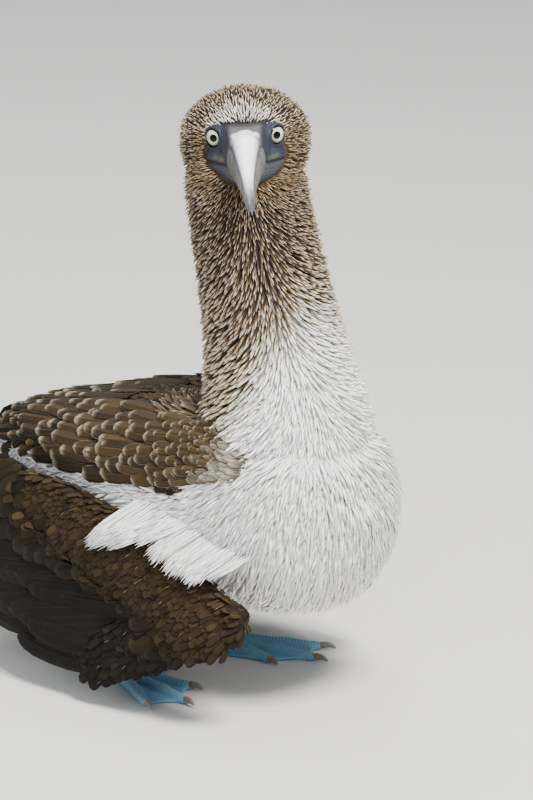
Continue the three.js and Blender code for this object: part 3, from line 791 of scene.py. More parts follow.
def grown(name, roots, normals, lie, length, width, rise, kind, values, material, body_slot, curl=-0.6,
          fray=None, root_uv=None, **form):
    """A piece of feathers stood on their roots. fray is a depth and a seed."""
    points = stood(roots, normals, lie, length, width, rise, rise * curl, kind, **form)
    if fray:
        points = frayed(points, kind, *fray)
    if root_uv is None:
        root_uv = unwrapped(roots, chart_of(roots))
    return blade_piece(name, points, kind, root_uv, values, material, body_slot)


# %% [markdown]
# Paints
#
# Every finish is made of nodes. Three small groups are shared: one finds a feather's shaft, barbs and edge
# from its own shares, one gives mottling, one gives the scales of bare skin. They put out masks and
# heights only, and each material mixes its own colours with them.

# %% A short way to write node trees
class Nodes:
    """Adds and links nodes of one tree. A plain number or colour is set on the socket itself."""

    def __init__(self, tree):
        self.tree = tree

    def feed(self, socket, value):
        if isinstance(value, bpy.types.NodeSocket):
            self.tree.links.new(value, socket)
        elif hasattr(value, "__len__") and len(value) == 3 and len(socket.default_value) == 4:
            socket.default_value = (*value, 1)
        else:
            socket.default_value = value

    def node(self, kind, inputs=(), output=0, **settings):
        node = self.tree.nodes.new(kind)
        for key, value in settings.items():
            setattr(node, key, value)
        for key, value in dict(inputs).items():
            self.feed(node.inputs[key], value)
        return node.outputs[output]

    def share(self, name):
        return self.node("ShaderNodeAttribute", attribute_name=name, output="Fac")

    def place(self):
        return self.node("ShaderNodeTexCoord", output="Object")

    def math(self, operation, a, b=0.0, c=0.0):
        return self.node("ShaderNodeMath", {0: a, 1: b, 2: c}, operation=operation)

    def times(self, a, b):
        return self.math("MULTIPLY", a, b)

    def step(self, value, low, high, start=0.0, end=1.0):
        """A smooth rise from start to end as value goes from low to high."""
        inputs = {"Value": value, "From Min": low, "From Max": high, "To Min": start, "To Max": end}
        return self.node("ShaderNodeMapRange", inputs, interpolation_type="SMOOTHSTEP")

    def mix(self, share, a, b):
        node = self.tree.nodes.new("ShaderNodeMix")
        node.data_type = "RGBA"
        for socket, value in zip((node.inputs[0], node.inputs[6], node.inputs[7]), (share, a, b)):
            self.feed(socket, value)
        return node.outputs[2]

    def tinted(self, color, tints):
        """A colour with others over it, each where a share of the piece says and as strongly as given."""
        for name, strength, tint in tints:
            color = self.mix(self.times(self.share(name), strength), color, tint)
        return color

    def noise(self, scale, detail=3.0, vector=None, output=0):
        inputs = {"Scale": scale, "Detail": detail, "Vector": vector or self.place()}
        return self.node("ShaderNodeTexNoise", inputs, output=output)

    def group(self, tree, inputs, output):
        return self.node("ShaderNodeGroup", inputs, output=output, node_tree=tree)

    def bump(self, height, distance, strength=1.0):
        return self.node("ShaderNodeBump", {"Height": height, "Distance": distance, "Strength": strength})


def node_group(name, inputs, outputs):
    """An empty group with named sockets: its nodes, its inputs by name and its output node."""
    tree = bpy.data.node_groups.new(name, "ShaderNodeTree")
    for key, value in inputs.items():
        kind = "NodeSocketVector" if value is None else "NodeSocketFloat"
        socket = tree.interface.new_socket(key, in_out="INPUT", socket_type=kind)
        if value is not None:
            socket.default_value = value
    for key in outputs:
        tree.interface.new_socket(key, in_out="OUTPUT", socket_type="NodeSocketFloat")
    nodes = Nodes(tree)
    return tree, nodes, tree.nodes.new("NodeGroupInput").outputs, tree.nodes.new("NodeGroupOutput").inputs


def painted(name, roughness, **constants):
    """A material with its shader's constants set: its nodes and its shader's inputs."""
    material = bpy.data.materials.new(name)
    material.use_nodes = True
    shader = material.node_tree.nodes["Principled BSDF"]
    shader.inputs["Roughness"].default_value = roughness
    for key, value in constants.items():
        shader.inputs[key.replace("_", " ")].default_value = value
    return material, Nodes(material.node_tree), shader.inputs


# %% Shared groups
feather_marks, n, given, made = node_group(
    "feather_marks",
    {"Along": 0.0, "Across": 0.0, "Barbs": 30.0, "Edge": 0.2},
    ("Barbs", "Shaft", "Edge", "Height"),
)
aside = n.math("ABSOLUTE", given["Across"])
slant = n.math("SUBTRACT", given["Along"], n.times(aside, 0.35))
waves = n.math("SINE", n.times(slant, n.times(given["Barbs"], 2 * math.pi)))
barbs = n.math("MULTIPLY_ADD", waves, 0.5, 0.5)
shaft = n.step(aside, 0.04, 0.12, 1.0, 0.0)
side_edge = n.step(aside, n.math("SUBTRACT", 1.0, given["Edge"]), 1.0)
tip_edge = n.step(given["Along"], n.math("SUBTRACT", 1.0, n.times(given["Edge"], 0.7)), 1.0)
n.feed(made["Barbs"], barbs)
n.feed(made["Shaft"], shaft)
n.feed(made["Edge"], n.math("MAXIMUM", side_edge, tip_edge))
n.feed(made["Height"], n.math("MULTIPLY_ADD", shaft, 2.0, barbs))

mottling, n, given, made = node_group(
    "mottling", {"Place": None, "Scale": 60.0, "Contrast": 1.0}, ("Mottle", "Fine")
)
broad = n.noise(given["Scale"], 4.0, given["Place"])
fine = n.noise(n.times(given["Scale"], 6.0), 3.0, given["Place"])
n.feed(made["Mottle"], n.math("MULTIPLY_ADD", n.math("SUBTRACT", broad, 0.5), given["Contrast"], 0.5))
n.feed(made["Fine"], n.math("MULTIPLY_ADD", n.math("SUBTRACT", fine, 0.5), given["Contrast"], 0.5))

skin_scales, n, given, made = node_group(
    "skin_scales", {"Place": None, "Scale": 400.0}, ("Grooves", "Pebble")
)
cell_inputs = {"Vector": given["Place"], "Scale": given["Scale"]}
cells = n.node("ShaderNodeTexVoronoi", cell_inputs, feature="DISTANCE_TO_EDGE", output="Distance")
pebble = n.node("ShaderNodeTexVoronoi", cell_inputs, feature="F1", output="Color")
n.feed(made["Grooves"], n.step(cells, 0.0, 0.12))
n.feed(made["Pebble"], pebble)

# %% Feather paints
DARK_BROWN = (0.010, 0.006, 0.0032)
MID_BROWN = (0.050, 0.032, 0.017)
CREAM = (0.62, 0.53, 0.37)
OCHRE = (0.21, 0.13, 0.042)
GOLDEN_BROWN = (0.15, 0.095, 0.04)
WHITE = (0.95, 0.95, 0.945)
TAN = (0.30, 0.24, 0.155)
PALE_GREY = (0.60, 0.56, 0.48)
SOFT_GREY = (0.62, 0.62, 0.61)


def mottled(n, scale, contrast, output="Mottle"):
    return n.group(mottling, {"Place": n.place(), "Scale": scale, "Contrast": contrast}, output)


def marks(n, barbs, edge):
    values = {"Along": n.share("along"), "Across": n.share("across"), "Barbs": barbs, "Edge": edge}
    group = n.tree.nodes.new("ShaderNodeGroup")
    group.node_tree = feather_marks
    for key, value in values.items():
        n.feed(group.inputs[key], value)
    return group.outputs


def streaked_paint():
    """Narrow feathers: dark, with a pale tip as long as the feather's own tip share."""
    material, n, shader = painted("streaked_feathers", 0.75, Sheen_Weight=0.05, Specular_IOR_Level=0.25)
    found = marks(n, 10.0, 0.3)
    along, white, warm, shade = n.share("along"), n.share("white"), n.share("warm"), n.share("shade")
    start = n.math("SUBTRACT", 1.0, n.share("tip"))
    pale = n.step(along, n.math("SUBTRACT", start, 0.12), n.math("ADD", start, 0.2))
    base = n.mix(shade, DARK_BROWN, MID_BROWN)
    base = n.mix(n.times(warm, 0.4), base, OCHRE)
    middle = n.step(along, n.math("SUBTRACT", start, 0.4), n.math("ADD", start, 0.1), 0.0, 0.75)
    base = n.mix(middle, base, GOLDEN_BROWN)
    base = n.mix(n.step(white, 0.1, 0.6, 0.0, 0.8), base, TAN)
    base = n.mix(n.step(white, 0.55, 1.0), base, SOFT_GREY)
    tip = n.mix(n.times(warm, 0.8), CREAM, OCHRE)
    tip = n.mix(n.times(shade, 0.35), tip, MID_BROWN)
    tip = n.mix(white, tip, WHITE)
    n.feed(shader["Base Color"], n.mix(pale, base, tip))
    n.feed(shader["Normal"], n.bump(found["Height"], 0.00008, 0.4))
    return material


def white_paint():
    material, n, shader = painted("white_feathers", 0.85, Sheen_Weight=0.25)
    found = marks(n, 14.0, 0.3)
    along, shade = n.share("along"), n.share("shade")
    cloud = mottled(n, 45.0, 1.4)
    tone = n.times(n.step(along, 0.1, 0.7, 0.15, 0.0), n.math("MULTIPLY_ADD", shade, 0.6, 0.5))
    color = n.mix(n.math("MULTIPLY_ADD", cloud, 0.12, tone), WHITE, SOFT_GREY)
    n.feed(shader["Base Color"], color)
    n.feed(shader["Normal"], n.bump(found["Barbs"], 0.00006, 0.3))
    return material


def vane_paint(name, dark, light, golden, rim, shaft_colour, barbs, edge, edge_strength, roughness):
    """Broad feathers: darker in the middle, with barbs, a pale shaft line and a rim."""
    material, n, shader = painted(name, roughness, Specular_IOR_Level=0.12)
    found = marks(n, barbs, edge)
    along, shade, warm, pale = n.share("along"), n.share("shade"), n.share("warm"), n.share("pale")
    fine = mottled(n, 160.0, 1.5, "Fine")
    body = n.mix(n.math("MULTIPLY_ADD", fine, 0.5, n.times(shade, 0.5)), dark, light)
    body = n.mix(warm, body, golden)
    body = n.mix(n.times(found["Barbs"], 0.03), body, rim)
    body = n.mix(n.times(n.step(along, 0.84, 1.0), pale), body, rim)
    body = n.mix(n.times(found["Shaft"], 0.2), body, shaft_colour)
    body = n.mix(n.times(found["Edge"], edge_strength), body, rim)
    body = n.mix(n.times(n.share("white"), n.step(along, 0.15, 0.8, 0.3, 1.0)), body, PALE_GREY)
    n.feed(shader["Base Color"], body)
    n.feed(shader["Normal"], n.bump(found["Height"], 0.00012, 0.6))
    return material


def skin_paint():
    """The skin carries the coat's own markings, so that nothing odd shows between feathers."""
    material, n, shader = painted("feathered_skin", 0.9)
    cloud = mottled(n, 120.0, 1.5)
    brown = n.mix(n.times(cloud, 0.4), DARK_BROWN, MID_BROWN)
    brown = n.mix(n.share("warm"), brown, GOLDEN_BROWN)
    n.feed(shader["Base Color"], n.mix(n.share("white"), brown, n.mix(cloud, WHITE, SOFT_GREY)))
    return material


streaked_feathers = streaked_paint()
white_feathers = white_paint()
mantle_feathers = vane_paint(
    "mantle_feathers",
    (0.0035, 0.0025, 0.0014), (0.014, 0.010, 0.0055), (0.085, 0.053, 0.018),
    (0.36, 0.31, 0.21), (0.08, 0.06, 0.036), 26, 0.12, 0.8, 0.7,
)
covert_feathers = vane_paint(
    "covert_feathers",
    (0.0035, 0.0025, 0.0017), (0.012, 0.0085, 0.0055), (0.062, 0.040, 0.016),
    (0.045, 0.033, 0.022), (0.02, 0.014, 0.009), 22, 0.13, 0.3, 0.75,
)
flight_feathers = vane_paint(
    "flight_feathers",
    (0.0018, 0.0014, 0.0012), (0.006, 0.0045, 0.0036), (0.02, 0.013, 0.007),
    (0.03, 0.022, 0.016), (0.02, 0.014, 0.01), 80, 0.08, 0.45, 0.6,
)
feathered_skin = skin_paint()

# %% [markdown]
# Where the brown ends
#
# Brown runs from the head down the neck and over the back. The breast, belly and flanks are white. The
# height of the border is set at a few angles round the neck, highest in front. It is a mask worked out
# from place alone, so skin and coat agree.

# %% The white mask
BORDER_ANGLES = np.radians((-180, -112, -100, -90, -68, -57, -47, -22, 10, 43, 68, 90, 100, 112, 180))
BORDER_HEIGHTS = (-60, 110, 140, 170, 212, 236, 252, 272, 262, 238, 210, 170, 140, 110, -60)
BORDER_SOFTNESS = 84
FLANK_BORDER = np.radians((74, 86))


def whiteness(points):
    border = np.interp(neck_angle(points), BORDER_ANGLES, BORDER_HEIGHTS)
    breast = smoothstep(border - points[:, 2], -BORDER_SOFTNESS / 2, BORDER_SOFTNESS / 2)
    round_body = np.abs(np.arctan2(points[:, 0], points[:, 2] - TORSO_AXIS_HEIGHT))
    flank = smoothstep(round_body, *FLANK_BORDER) * (points[:, 2] < TORSO_TOP)
    return np.maximum(breast, flank)


add_share(skin, "white", whiteness(body_points(skin)))
skin.data.materials.append(feathered_skin)
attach(skin, "root")
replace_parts(skin, "torso", "neck", "head", "thigh_left", "thigh_right")

# %% [markdown]
# The lie of the coat
#
# Feathers point away from the bill over the head, then down and round the neck, parting along a line under
# the chin that twists with the turned head. On the body they run back and down.

# %% Lie of head, neck and body feathers
FACE_CENTRE = np.array((0.0, -16.0, -8.0))


def head_lie(points):
    skull = to_head(points)
    away = unit(skull - FACE_CENTRE)
    rear = smoothstep(skull[:, 1], 15, 55)
    away[:, 2] -= rear * 1.3
    return unit(away @ HEAD_MATRIX[:3, :3].T)


def neck_lie(points):
    z = points[:, 2]
    parting = np.radians(np.interp(z, (120, 180, 230, 290, 340), (0, -10, -30, -46, -47)))
    turn = (neck_angle(points) - parting + np.pi) % (2 * np.pi) - np.pi
    pull = np.where(turn > 0, 2.7, 1.35) * np.sin(np.clip(turn, -np.pi, np.pi))
    angle = neck_angle(points)
    sideways = np.column_stack([np.cos(angle), np.sin(angle), 0 * angle])
    down = np.column_stack([0 * z, 0 * z, -np.ones(len(z))])
    return unit(down + sideways * pull[:, None])


def body_lie(points):
    front = smoothstep(-points[:, 1], 60, 150)
    side = np.sign(points[:, 0]) * smoothstep(np.abs(points[:, 0]), 0, 40)
    back = 0.35 + 0.65 * (1 - front)
    down = 0.25 + 1.0 * front
    return unit(np.column_stack([0.25 * side * front, back, -down * np.ones(len(points))]))


def blended(first, second, share):
    return unit(first * (1 - share)[:, None] + second * share[:, None])


# %% [markdown]
# Bare face
#
# Two forms are melted together for the bare skin: the brow and lores between the eyes, and the jaw with
# the round of the throat. A ball swells round each eye, and a larger one fills out the lores below it.
# Openings are cut for the eyes, and folds are pressed in: rings round the lids, the line of the mouth and
# creases over the throat.

# %% The face's form
EYE_RADIUS = 8.5
EYE_CENTRE = np.array((17.2, 5.4, 0.0))
EYE_AIM = unit(np.array((0.67, -0.742, 0.03)))
PUPIL_AIM = unit(np.array((0.47, -0.876, 0.11)))
LID_RADIUS = 9.1
OPENING_RADIUS = 6.3
LORE_CENTRE = np.array((14.0, 5.5, -4.0))
LORE_RADIUS = 11.5
FACE_VOXEL = 0.75
MOUTH_CORNER = np.array((0.0, 7.0, -17.6))
MOUTH_ROOT = np.array((0.0, -15.0, -13.2))

face_core = SpineBody(
    [
        (0, 13, -5, 20, 13, 18),
        (0, 6, -5, 24, 15.6, 20),
        (0, 1, -5, 20.5, 15.4, 21),
        (0, -6, -6, 16.8, 14.2, 20),
        (0, -12, -7, 15.4, 14.8, 19),
        (0, -18, -7.4, 13.4, 13.6, 17.2),
    ],
    start_cap=0.2,
    end_cap=0.06,
    square=2.8,
)
jaw_body = SpineBody(
    [
        (0, 15, -12.5, 22, 10, 17),
        (0, 8, -12.5, 26, 12, 22),
        (0, 2, -12.5, 25.6, 12, 24),
        (0, -5, -13, 22, 11, 22.5),
        (0, -12, -13.5, 17, 10, 18),
        (0, -19, -14, 13, 8, 13),
    ],
    start_cap=0.2,
    end_cap=0.1,
    square=2.1,
)


def ball(name, centre, radius, segments=40, rings=28):
    piece = unit_ball(name, segments, rings)
    set_vertices(piece, from_head(vertices_of(piece) * radius + centre))
    return piece


def mirrored(vector, side):
    return vector * np.array((side, 1, 1))


def cut(piece, cutter):
    with_modifier(piece, "BOOLEAN", operation="DIFFERENCE", object=cutter, solver="EXACT")
    bpy.data.objects.remove(cutter)
    return piece


def ring_distance(points, side):
    """How far points lie off the line that an eye looks along, and how far along it."""
    offset = points - mirrored(EYE_CENTRE, side)
    along = offset @ mirrored(EYE_AIM, side)
    return np.sqrt(np.maximum((offset**2).sum(1) - along**2, 0)), along


def mouth_line(points):
    """Height above the line of the mouth, and share of the way from the bill to the corner."""
    share = (points[:, 1] - MOUTH_ROOT[1]) / (MOUTH_CORNER[1] - MOUTH_ROOT[1])
    return points[:, 2] - (MOUTH_ROOT[2] + (MOUTH_CORNER[2] - MOUTH_ROOT[2]) * share), share


face = fused(
    "face",
    [
        lofted("core_form", face_core, 48, 36, in_head=True),
        lofted("jaw_form", jaw_body, 48, 36, in_head=True),
        ball("lid_form_left", mirrored(EYE_CENTRE, 1), LID_RADIUS),
        ball("lid_form_right", mirrored(EYE_CENTRE, -1), LID_RADIUS),
        ball("lore_form_left", mirrored(LORE_CENTRE, 1), LORE_RADIUS),
        ball("lore_form_right", mirrored(LORE_CENTRE, -1), LORE_RADIUS),
    ],
    FACE_VOXEL,
    smoothing=5,
)
points = to_head(body_points(face))
normals = surface_arrays(face)[1] @ HEAD_MATRIX[:3, :3]
push = np.zeros(len(points))
for side in (1, -1):
    off, along = ring_distance(points, side)
    near = smoothstep(along, 0, 4) * (points[:, 0] * side > 0)
    folds = np.sin(off * 2 * np.pi / 1.7 + 0.6 * np.sin(points[:, 2] * 0.9)) * smoothstep(-off, -13.5, -7.5)
    push += near * (0.3 * folds + 0.55 * np.exp(-(((off - 7.0) / 1.1) ** 2)))
above_mouth, share = mouth_line(points)
on_side = smoothstep(np.abs(points[:, 0]), 7, 11) * smoothstep(-share, -1.02, -0.9)
push -= on_side * 1.3 * np.exp(-((above_mouth / 0.75) ** 2))
push += on_side * 0.7 * np.exp(-(((above_mouth - 2.2) / 1.5) ** 2))
push += on_side * 0.6 * np.exp(-(((above_mouth + 2.6) / 1.6) ** 2))
throat = smoothstep(-above_mouth, 3, 6)
push += throat * 0.16 * np.sin(above_mouth * 2 * np.pi / 2.1 + 0.25 * points[:, 1])
lores = smoothstep(-np.abs(np.abs(points[:, 0]) - 13.5), -3.2, 0)
lores = lores * smoothstep(-np.abs(points[:, 2] + 3), -11, -6)
push -= 0.9 * lores * (points[:, 1] < 2)
points = points + normals * push[:, None]
set_vertices(face, from_head(points))
for side in (1, -1):
    cut(face, ball("eye_room", mirrored(EYE_CENTRE, side), EYE_RADIUS + 0.15, 64, 48))
    cut(face, ball("eye_opening", mirrored(EYE_CENTRE + EYE_AIM * 9.4, side), OPENING_RADIUS + 0.8, 64, 48))
print("face faces:", len(face.data.polygons))

# %% Colours of the bare face
points = to_head(body_points(face))
off = np.minimum(ring_distance(points, 1)[0], ring_distance(points, -1)[0])
above_mouth, share = mouth_line(points)
width = np.abs(points[:, 0])
brow = smoothstep(points[:, 2], 8.2, 9.6)
between_eyes = smoothstep(-width, -13, -8) * smoothstep(points[:, 2], -14, -8)
# Painted shade: the grooves beside the bill are darkened where shade falls in them.
shaded_groove = np.exp(-(((width - 13.2 + 0.06 * points[:, 2]) / 1.7) ** 2)) * smoothstep(points[:, 2], -13, -8)
gape = np.exp(-(((above_mouth - 3.4) / 2.2) ** 2))
gape = gape * smoothstep(width, 12, 16) * smoothstep(-width, -24, -20)
# The top of the face behind the bill is pale horn with a painted highlight.
ridge_and_highlight = smoothstep(-points[:, 1], 9.5, 14) * smoothstep(-width, -10.5, -7) * (points[:, 2] > 0)
add_share(face, "rim", np.maximum(np.exp(-(((off - 6.3) / 1.15) ** 2)), 0.85 * brow))
add_share(face, "horn", between_eyes)
add_share(face, "ridge_and_highlight", ridge_and_highlight)
# painted shade: dark in the grooves beside the bill and along the crease of the mouth
add_share(face, "shaded_groove", np.maximum(shaded_groove, np.exp(-((above_mouth / 0.7) ** 2)) * (width > 8)))
add_share(face, "gape", gape)
add_share(face, "throat", smoothstep(-above_mouth, 0.5, 3))
add_share(face, "indigo", smoothstep(-off, -15, -8) * (0.55 + 0.45 * (points[:, 0] > 0)))


def face_paint():
    material, n, shader = painted("face_skin", 0.5, Subsurface_Weight=0.05, Specular_IOR_Level=0.3)
    fine = mottled(n, 260.0, 1.6)
    grain = mottled(n, 500.0, 1.6, "Fine")
    scales = {"Place": n.place(), "Scale": 1100.0}
    color = n.mix(fine, (0.006, 0.0075, 0.013), (0.016, 0.020, 0.032))
    tints = (
        ("indigo", 0.75, (0.009, 0.0095, 0.042)),
        ("throat", 0.7, (0.060, 0.068, 0.084)),
        ("horn", 0.85, (0.10, 0.097, 0.092)),
        # pale horn with a painted highlight
        ("ridge_and_highlight", n.step(fine, 0.3, 0.6, 0.35, 0.95), (0.72, 0.74, 0.76)),
        ("gape", n.step(fine, 0.1, 0.9, 0.05, 0.4), (0.16, 0.15, 0.10)),
        # painted shade in the grooves beside the bill and along the mouth line
        ("shaded_groove", 0.8, (0.012, 0.012, 0.016)),
        ("rim", 0.92, (0.012, 0.012, 0.018)),
    )
    color = n.tinted(color, tints)
    color = n.mix(n.times(grain, 0.12), color, (0.12, 0.13, 0.15))
    n.feed(shader["Base Color"], color)
    relief = n.math("MULTIPLY_ADD", n.group(skin_scales, scales, "Grooves"), 0.4, fine)
    n.feed(shader["Normal"], n.bump(relief, 0.0003, 0.45))
    return material


face.data.materials.append(face_paint())
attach(face, "root")
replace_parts(face, "face")

# %% [markdown]
# Eyes
#
# Each eye is a ball with a low swelling for the cornea. Its material measures the distance from the line
# that the eye looks along, so pupil, pale iris and dark ring are sharp at any size. A thin dark lid rings
# it.

# %% Eyeballs
eye_rings, n, given, made = node_group(
    "eye_rings", {"Place": None, "Centre": None, "Aim": None}, ("Radius",)
)
offset = n.node("ShaderNodeVectorMath", {0: given["Place"], 1: given["Centre"]}, operation="SUBTRACT")
turned = n.node("ShaderNodeVectorMath", {0: offset, 1: given["Aim"]}, operation="CROSS_PRODUCT")
radius = n.node("ShaderNodeVectorMath", {0: turned}, operation="LENGTH", output="Value")
n.feed(made["Radius"], n.times(radius, 1 / MM))


def eye_paint(name, centre, aim, pupil_aim):
    material, n, shader = painted(name, 0.4, Coat_Roughness=0.02, Specular_IOR_Level=0.05)
    shader["Coat Weight"].default_value = 0.25
    iris = n.group(eye_rings, {"Place": n.place(), "Centre": centre, "Aim": aim}, "Radius")
    pupil = n.group(eye_rings, {"Place": n.place(), "Centre": centre, "Aim": pupil_aim}, "Radius")
    grain = n.noise(1500.0, 3.0)
    color = n.mix(grain, (0.44, 0.47, 0.28), (0.66, 0.69, 0.48))
    color = n.mix(n.step(iris, 3.6, 5.6), color, (0.34, 0.38, 0.25))
    color = n.mix(n.step(iris, 5.15, 5.45), color, (0.006, 0.006, 0.008))
    color = n.mix(n.step(pupil, 2.55, 2.8, 1.0, 0.0), color, (0.0005, 0.0005, 0.0007))
    n.feed(shader["Base Color"], color)
    return material


for side, name in SIDES:
    centre = mirrored(EYE_CENTRE, side)
    aim = mirrored(EYE_AIM, side)
    eye = ball("eyeball_" + name, centre, EYE_RADIUS, 64, 48)
    points = to_head(body_points(eye))
    facing = unit(points - centre) @ aim
    points = centre + (points - centre) * (1 + 0.07 * smoothstep(facing, 0.72, 0.98))[:, None]
    set_vertices(eye, from_head(points))
    smooth(eye)
    world_aim = Vector(HEAD_MATRIX[:3, :3] @ aim)
    world_pupil = Vector(HEAD_MATRIX[:3, :3] @ mirrored(PUPIL_AIM, side))
    world_centre = Vector(placed(from_head(centre[None]))[0])
    eye.data.materials.append(eye_paint("eye_" + name, world_centre, world_aim, world_pupil))
    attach(eye, "root")
    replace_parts(eye, "eye_" + name)

# %% [markdown]
# Bill
#
# The bill is a long cone, flat-sided at the root, with a ridge along its top, a groove on each side of it,
# no open nostrils and a slight droop at the tip. Its cutting edges are finely toothed and meet in a mouth
# line that runs on into the bare face.

# %% Upper and lower bill
BILL_ROOT = 14
BILL_TIP = 110
# Forward, height, half width, reach up and reach down.
BILL_STATIONS = (
    (9, -13.2, 14.2, 20.5, 15.0),
    (BILL_ROOT, -13, 13.6, 21, 14.6),
    (40, -12, 9.6, 15.4, 10.5),
    (70, -11.3, 5.7, 9.3, 6.2),
    (93, -11.8, 3.9, 4.8, 2.8),
    (BILL_TIP, -13.8, 1.9, 1.8, 0.8),
)
upper_bill = SpineBody([(0, -f, h, w, up, 0.8) for f, h, w, up, _ in BILL_STATIONS], 0, 0.08, 2.1)
lower_bill = SpineBody([(0, -f, h, w * 0.94, 0.1, down) for f, h, w, _, down in BILL_STATIONS], 0, 0.1, 2.1)


def bill_paint():
    material, n, shader = painted("bill_horn", 0.35, Coat_Roughness=0.15, Specular_IOR_Level=0.35)
    shader["Coat Weight"].default_value = 0.15
    streaks = n.node("ShaderNodeMapping", {"Vector": n.place(), "Scale": (1, 1, 0.25)})
    cloud = n.noise(120.0, 4.0, streaks)
    fine = n.noise(900.0, 3.0, streaks)
    color = n.mix(n.step(cloud, 0.3, 0.7), (0.075, 0.078, 0.078), (0.135, 0.138, 0.14))
    tints = (
        # the ridge's near-white is pale horn with a painted highlight
        ("ridge_and_highlight", n.step(cloud, 0.1, 0.5, 0.8, 1.0), (0.90, 0.92, 0.94)),
        ("base", n.step(fine, 0.3, 0.7, 0.0, 0.6), (0.20, 0.195, 0.185)),
        ("point", 0.55, (0.045, 0.048, 0.052)),
        ("edge", 0.75, (0.12, 0.105, 0.055)),
        # painted shade in the grooves beside the ridge and in a band where the bill meets the face
        ("shaded_groove", 0.8, (0.02, 0.022, 0.027)),
    )
    color = n.tinted(color, tints)
    color = n.mix(n.times(n.step(fine, 0.5, 0.75), 0.3), color, (0.20, 0.21, 0.23))
    n.feed(shader["Base Color"], color)
    n.feed(shader["Roughness"], n.step(fine, 0.2, 0.8, 0.22, 0.42))
    n.feed(shader["Normal"], n.bump(n.math("MULTIPLY_ADD", fine, 0.5, cloud), 0.0006, 0.4))
    return material


bill_horn = bill_paint()


def finished_bill(name, body, upper):
    piece = lofted(name, body, 72, 120, in_head=True)
    points = to_head(body_points(piece))
    forward = -points[:, 1]
    rows = spline(body.stations, np.interp(forward, [r[0] for r in BILL_STATIONS], np.linspace(0, 1, 6)))
    high = (points[:, 2] - rows[:, 2]) / np.maximum(rows[:, 4 if upper else 5], 0.5)
    side_share = points[:, 0] / np.maximum(rows[:, 3], 0.5)
    along = (forward - BILL_ROOT) / (BILL_TIP - BILL_ROOT)
    middle = np.column_stack([0 * forward, points[:, 1], rows[:, 2]])
    # The groove is carved into the horn, and the same mask paints shade in it.
    shaded_groove = np.exp(-(((high - 0.62 - 0.1 * along) / 0.07) ** 2)) * smoothstep(-along, -0.86, -0.6) * upper
    # The raised ridge is pale horn, painted near-white partly as a highlight.
    ridge_and_highlight = smoothstep(high, 0.62, 0.94) * upper
    edge = smoothstep(-np.abs(high), -0.28, -0.03)
    teeth = 0.18 * np.abs(np.sin(forward * np.pi / 1.3)) * edge * smoothstep(-along, -0.9, -0.75)
    wear = 0.12 * np.sin(forward * 0.7 + 5 * side_share) * smoothstep(-along, -0.5, -0.1)
    shrink = -0.9 * shaded_groove * (1 - 0.6 * along) + 0.35 * ridge_and_highlight * (1 - along) - teeth + wear
    points = points + unit(points - middle) * shrink[:, None]
    points[:, 0] += 2.0 * np.clip(along, 0, 1) ** 2
    points[:, 2] += 1.8 * np.clip(along, 0, 1) ** 2
    set_vertices(piece, from_head(points))
    # painted shade: darker in the grooves and in a band where the bill tucks into the face
    add_share(piece, "shaded_groove", np.maximum(shaded_groove * 0.85, smoothstep(-along, -0.03, 0.03) * 0.2))
    add_share(piece, "ridge_and_highlight", ridge_and_highlight * smoothstep(-along, -0.88, -0.52))
    add_share(piece, "base", smoothstep(-along, -0.09, -0.01))
    add_share(piece, "point", smoothstep(along, 0.72, 0.98))
    add_share(piece, "edge", edge * smoothstep(-along, -0.5, -0.1))
    smooth(piece)
    piece.data.materials.append(bill_horn)
    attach(piece, "root")
    return piece


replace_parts(finished_bill("upper_bill", upper_bill, True), "bill_upper")
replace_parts(finished_bill("lower_bill", lower_bill, False), "bill_lower")

# %% [markdown]
# Head and neck
#
# The head bristles with short lance-shaped feathers whose cream tips stand out over dark roots. They are
# smallest and palest on the forehead and turn ochre beside the bare face. Down the neck they grow longer,
# wider and whiter.

# %% Head feathers
FACE_MARGIN = 0.1
face_points, _, face_triangles = surface_arrays(face)
face_tree = BVHTree.FromPolygons(face_points.tolist(), face_triangles.tolist())


def on_bare_face(points):
    """True inside the face's own form, or closer to it than the margin."""
    bare = np.zeros(len(points), bool)
    for i in np.flatnonzero(to_head(points)[:, 1] < 24):
        place = Vector(points[i])
        nearest, normal, _, distance = face_tree.find_nearest(place)
        bare[i] = distance < FACE_MARGIN or (place - nearest).dot(normal) < 0
    skull = to_head(points)
    return bare | ((skull[:, 1] < -9) & (skull[:, 2] > -12))


def head_spacing(points):
    front = smoothstep(-to_head(points)[:, 1], -34, 0)
    return 1.42 - 0.3 * front


def from_face(points):
    """How far points lie from the bare face."""
    return np.array([face_tree.find_nearest(Vector(point))[3] for point in points])


roots, normals = scattered(
    skin, head_spacing, lambda p: (p[:, 2] > HEAD_BOTTOM - 2) & ~on_bare_face(p), seed=11
)
random = np.random.default_rng(12)
count = len(roots)
skull = to_head(roots)
front = smoothstep(-skull[:, 1], -34, 0)
low = smoothstep(-skull[:, 2], 0, 40)
margin = np.exp(-((from_face(roots) / 3.2) ** 2))
forehead = smoothstep(-skull[:, 1], -11, -1) * smoothstep(skull[:, 2], 2, 9)
cheek = np.exp(-((from_face(roots) / 11) ** 2)) * smoothstep(-skull[:, 2], -6, 4)
lie = blended(head_lie(roots), neck_lie(roots), smoothstep(-skull[:, 2], 26, 46))
lie = unit(lie + random.normal(0, 0.14, (count, 3)))
length = (7.4 - 2.0 * front + 3.0 * low) * random.uniform(0.75, 1.2, count) * (1 - 0.25 * margin)
width = (0.92 - 0.15 * front + 0.2 * low) * random.uniform(0.75, 1.25, count)
rise = np.radians(40 - 2 * low + 6 * margin + random.normal(0, 6, count))
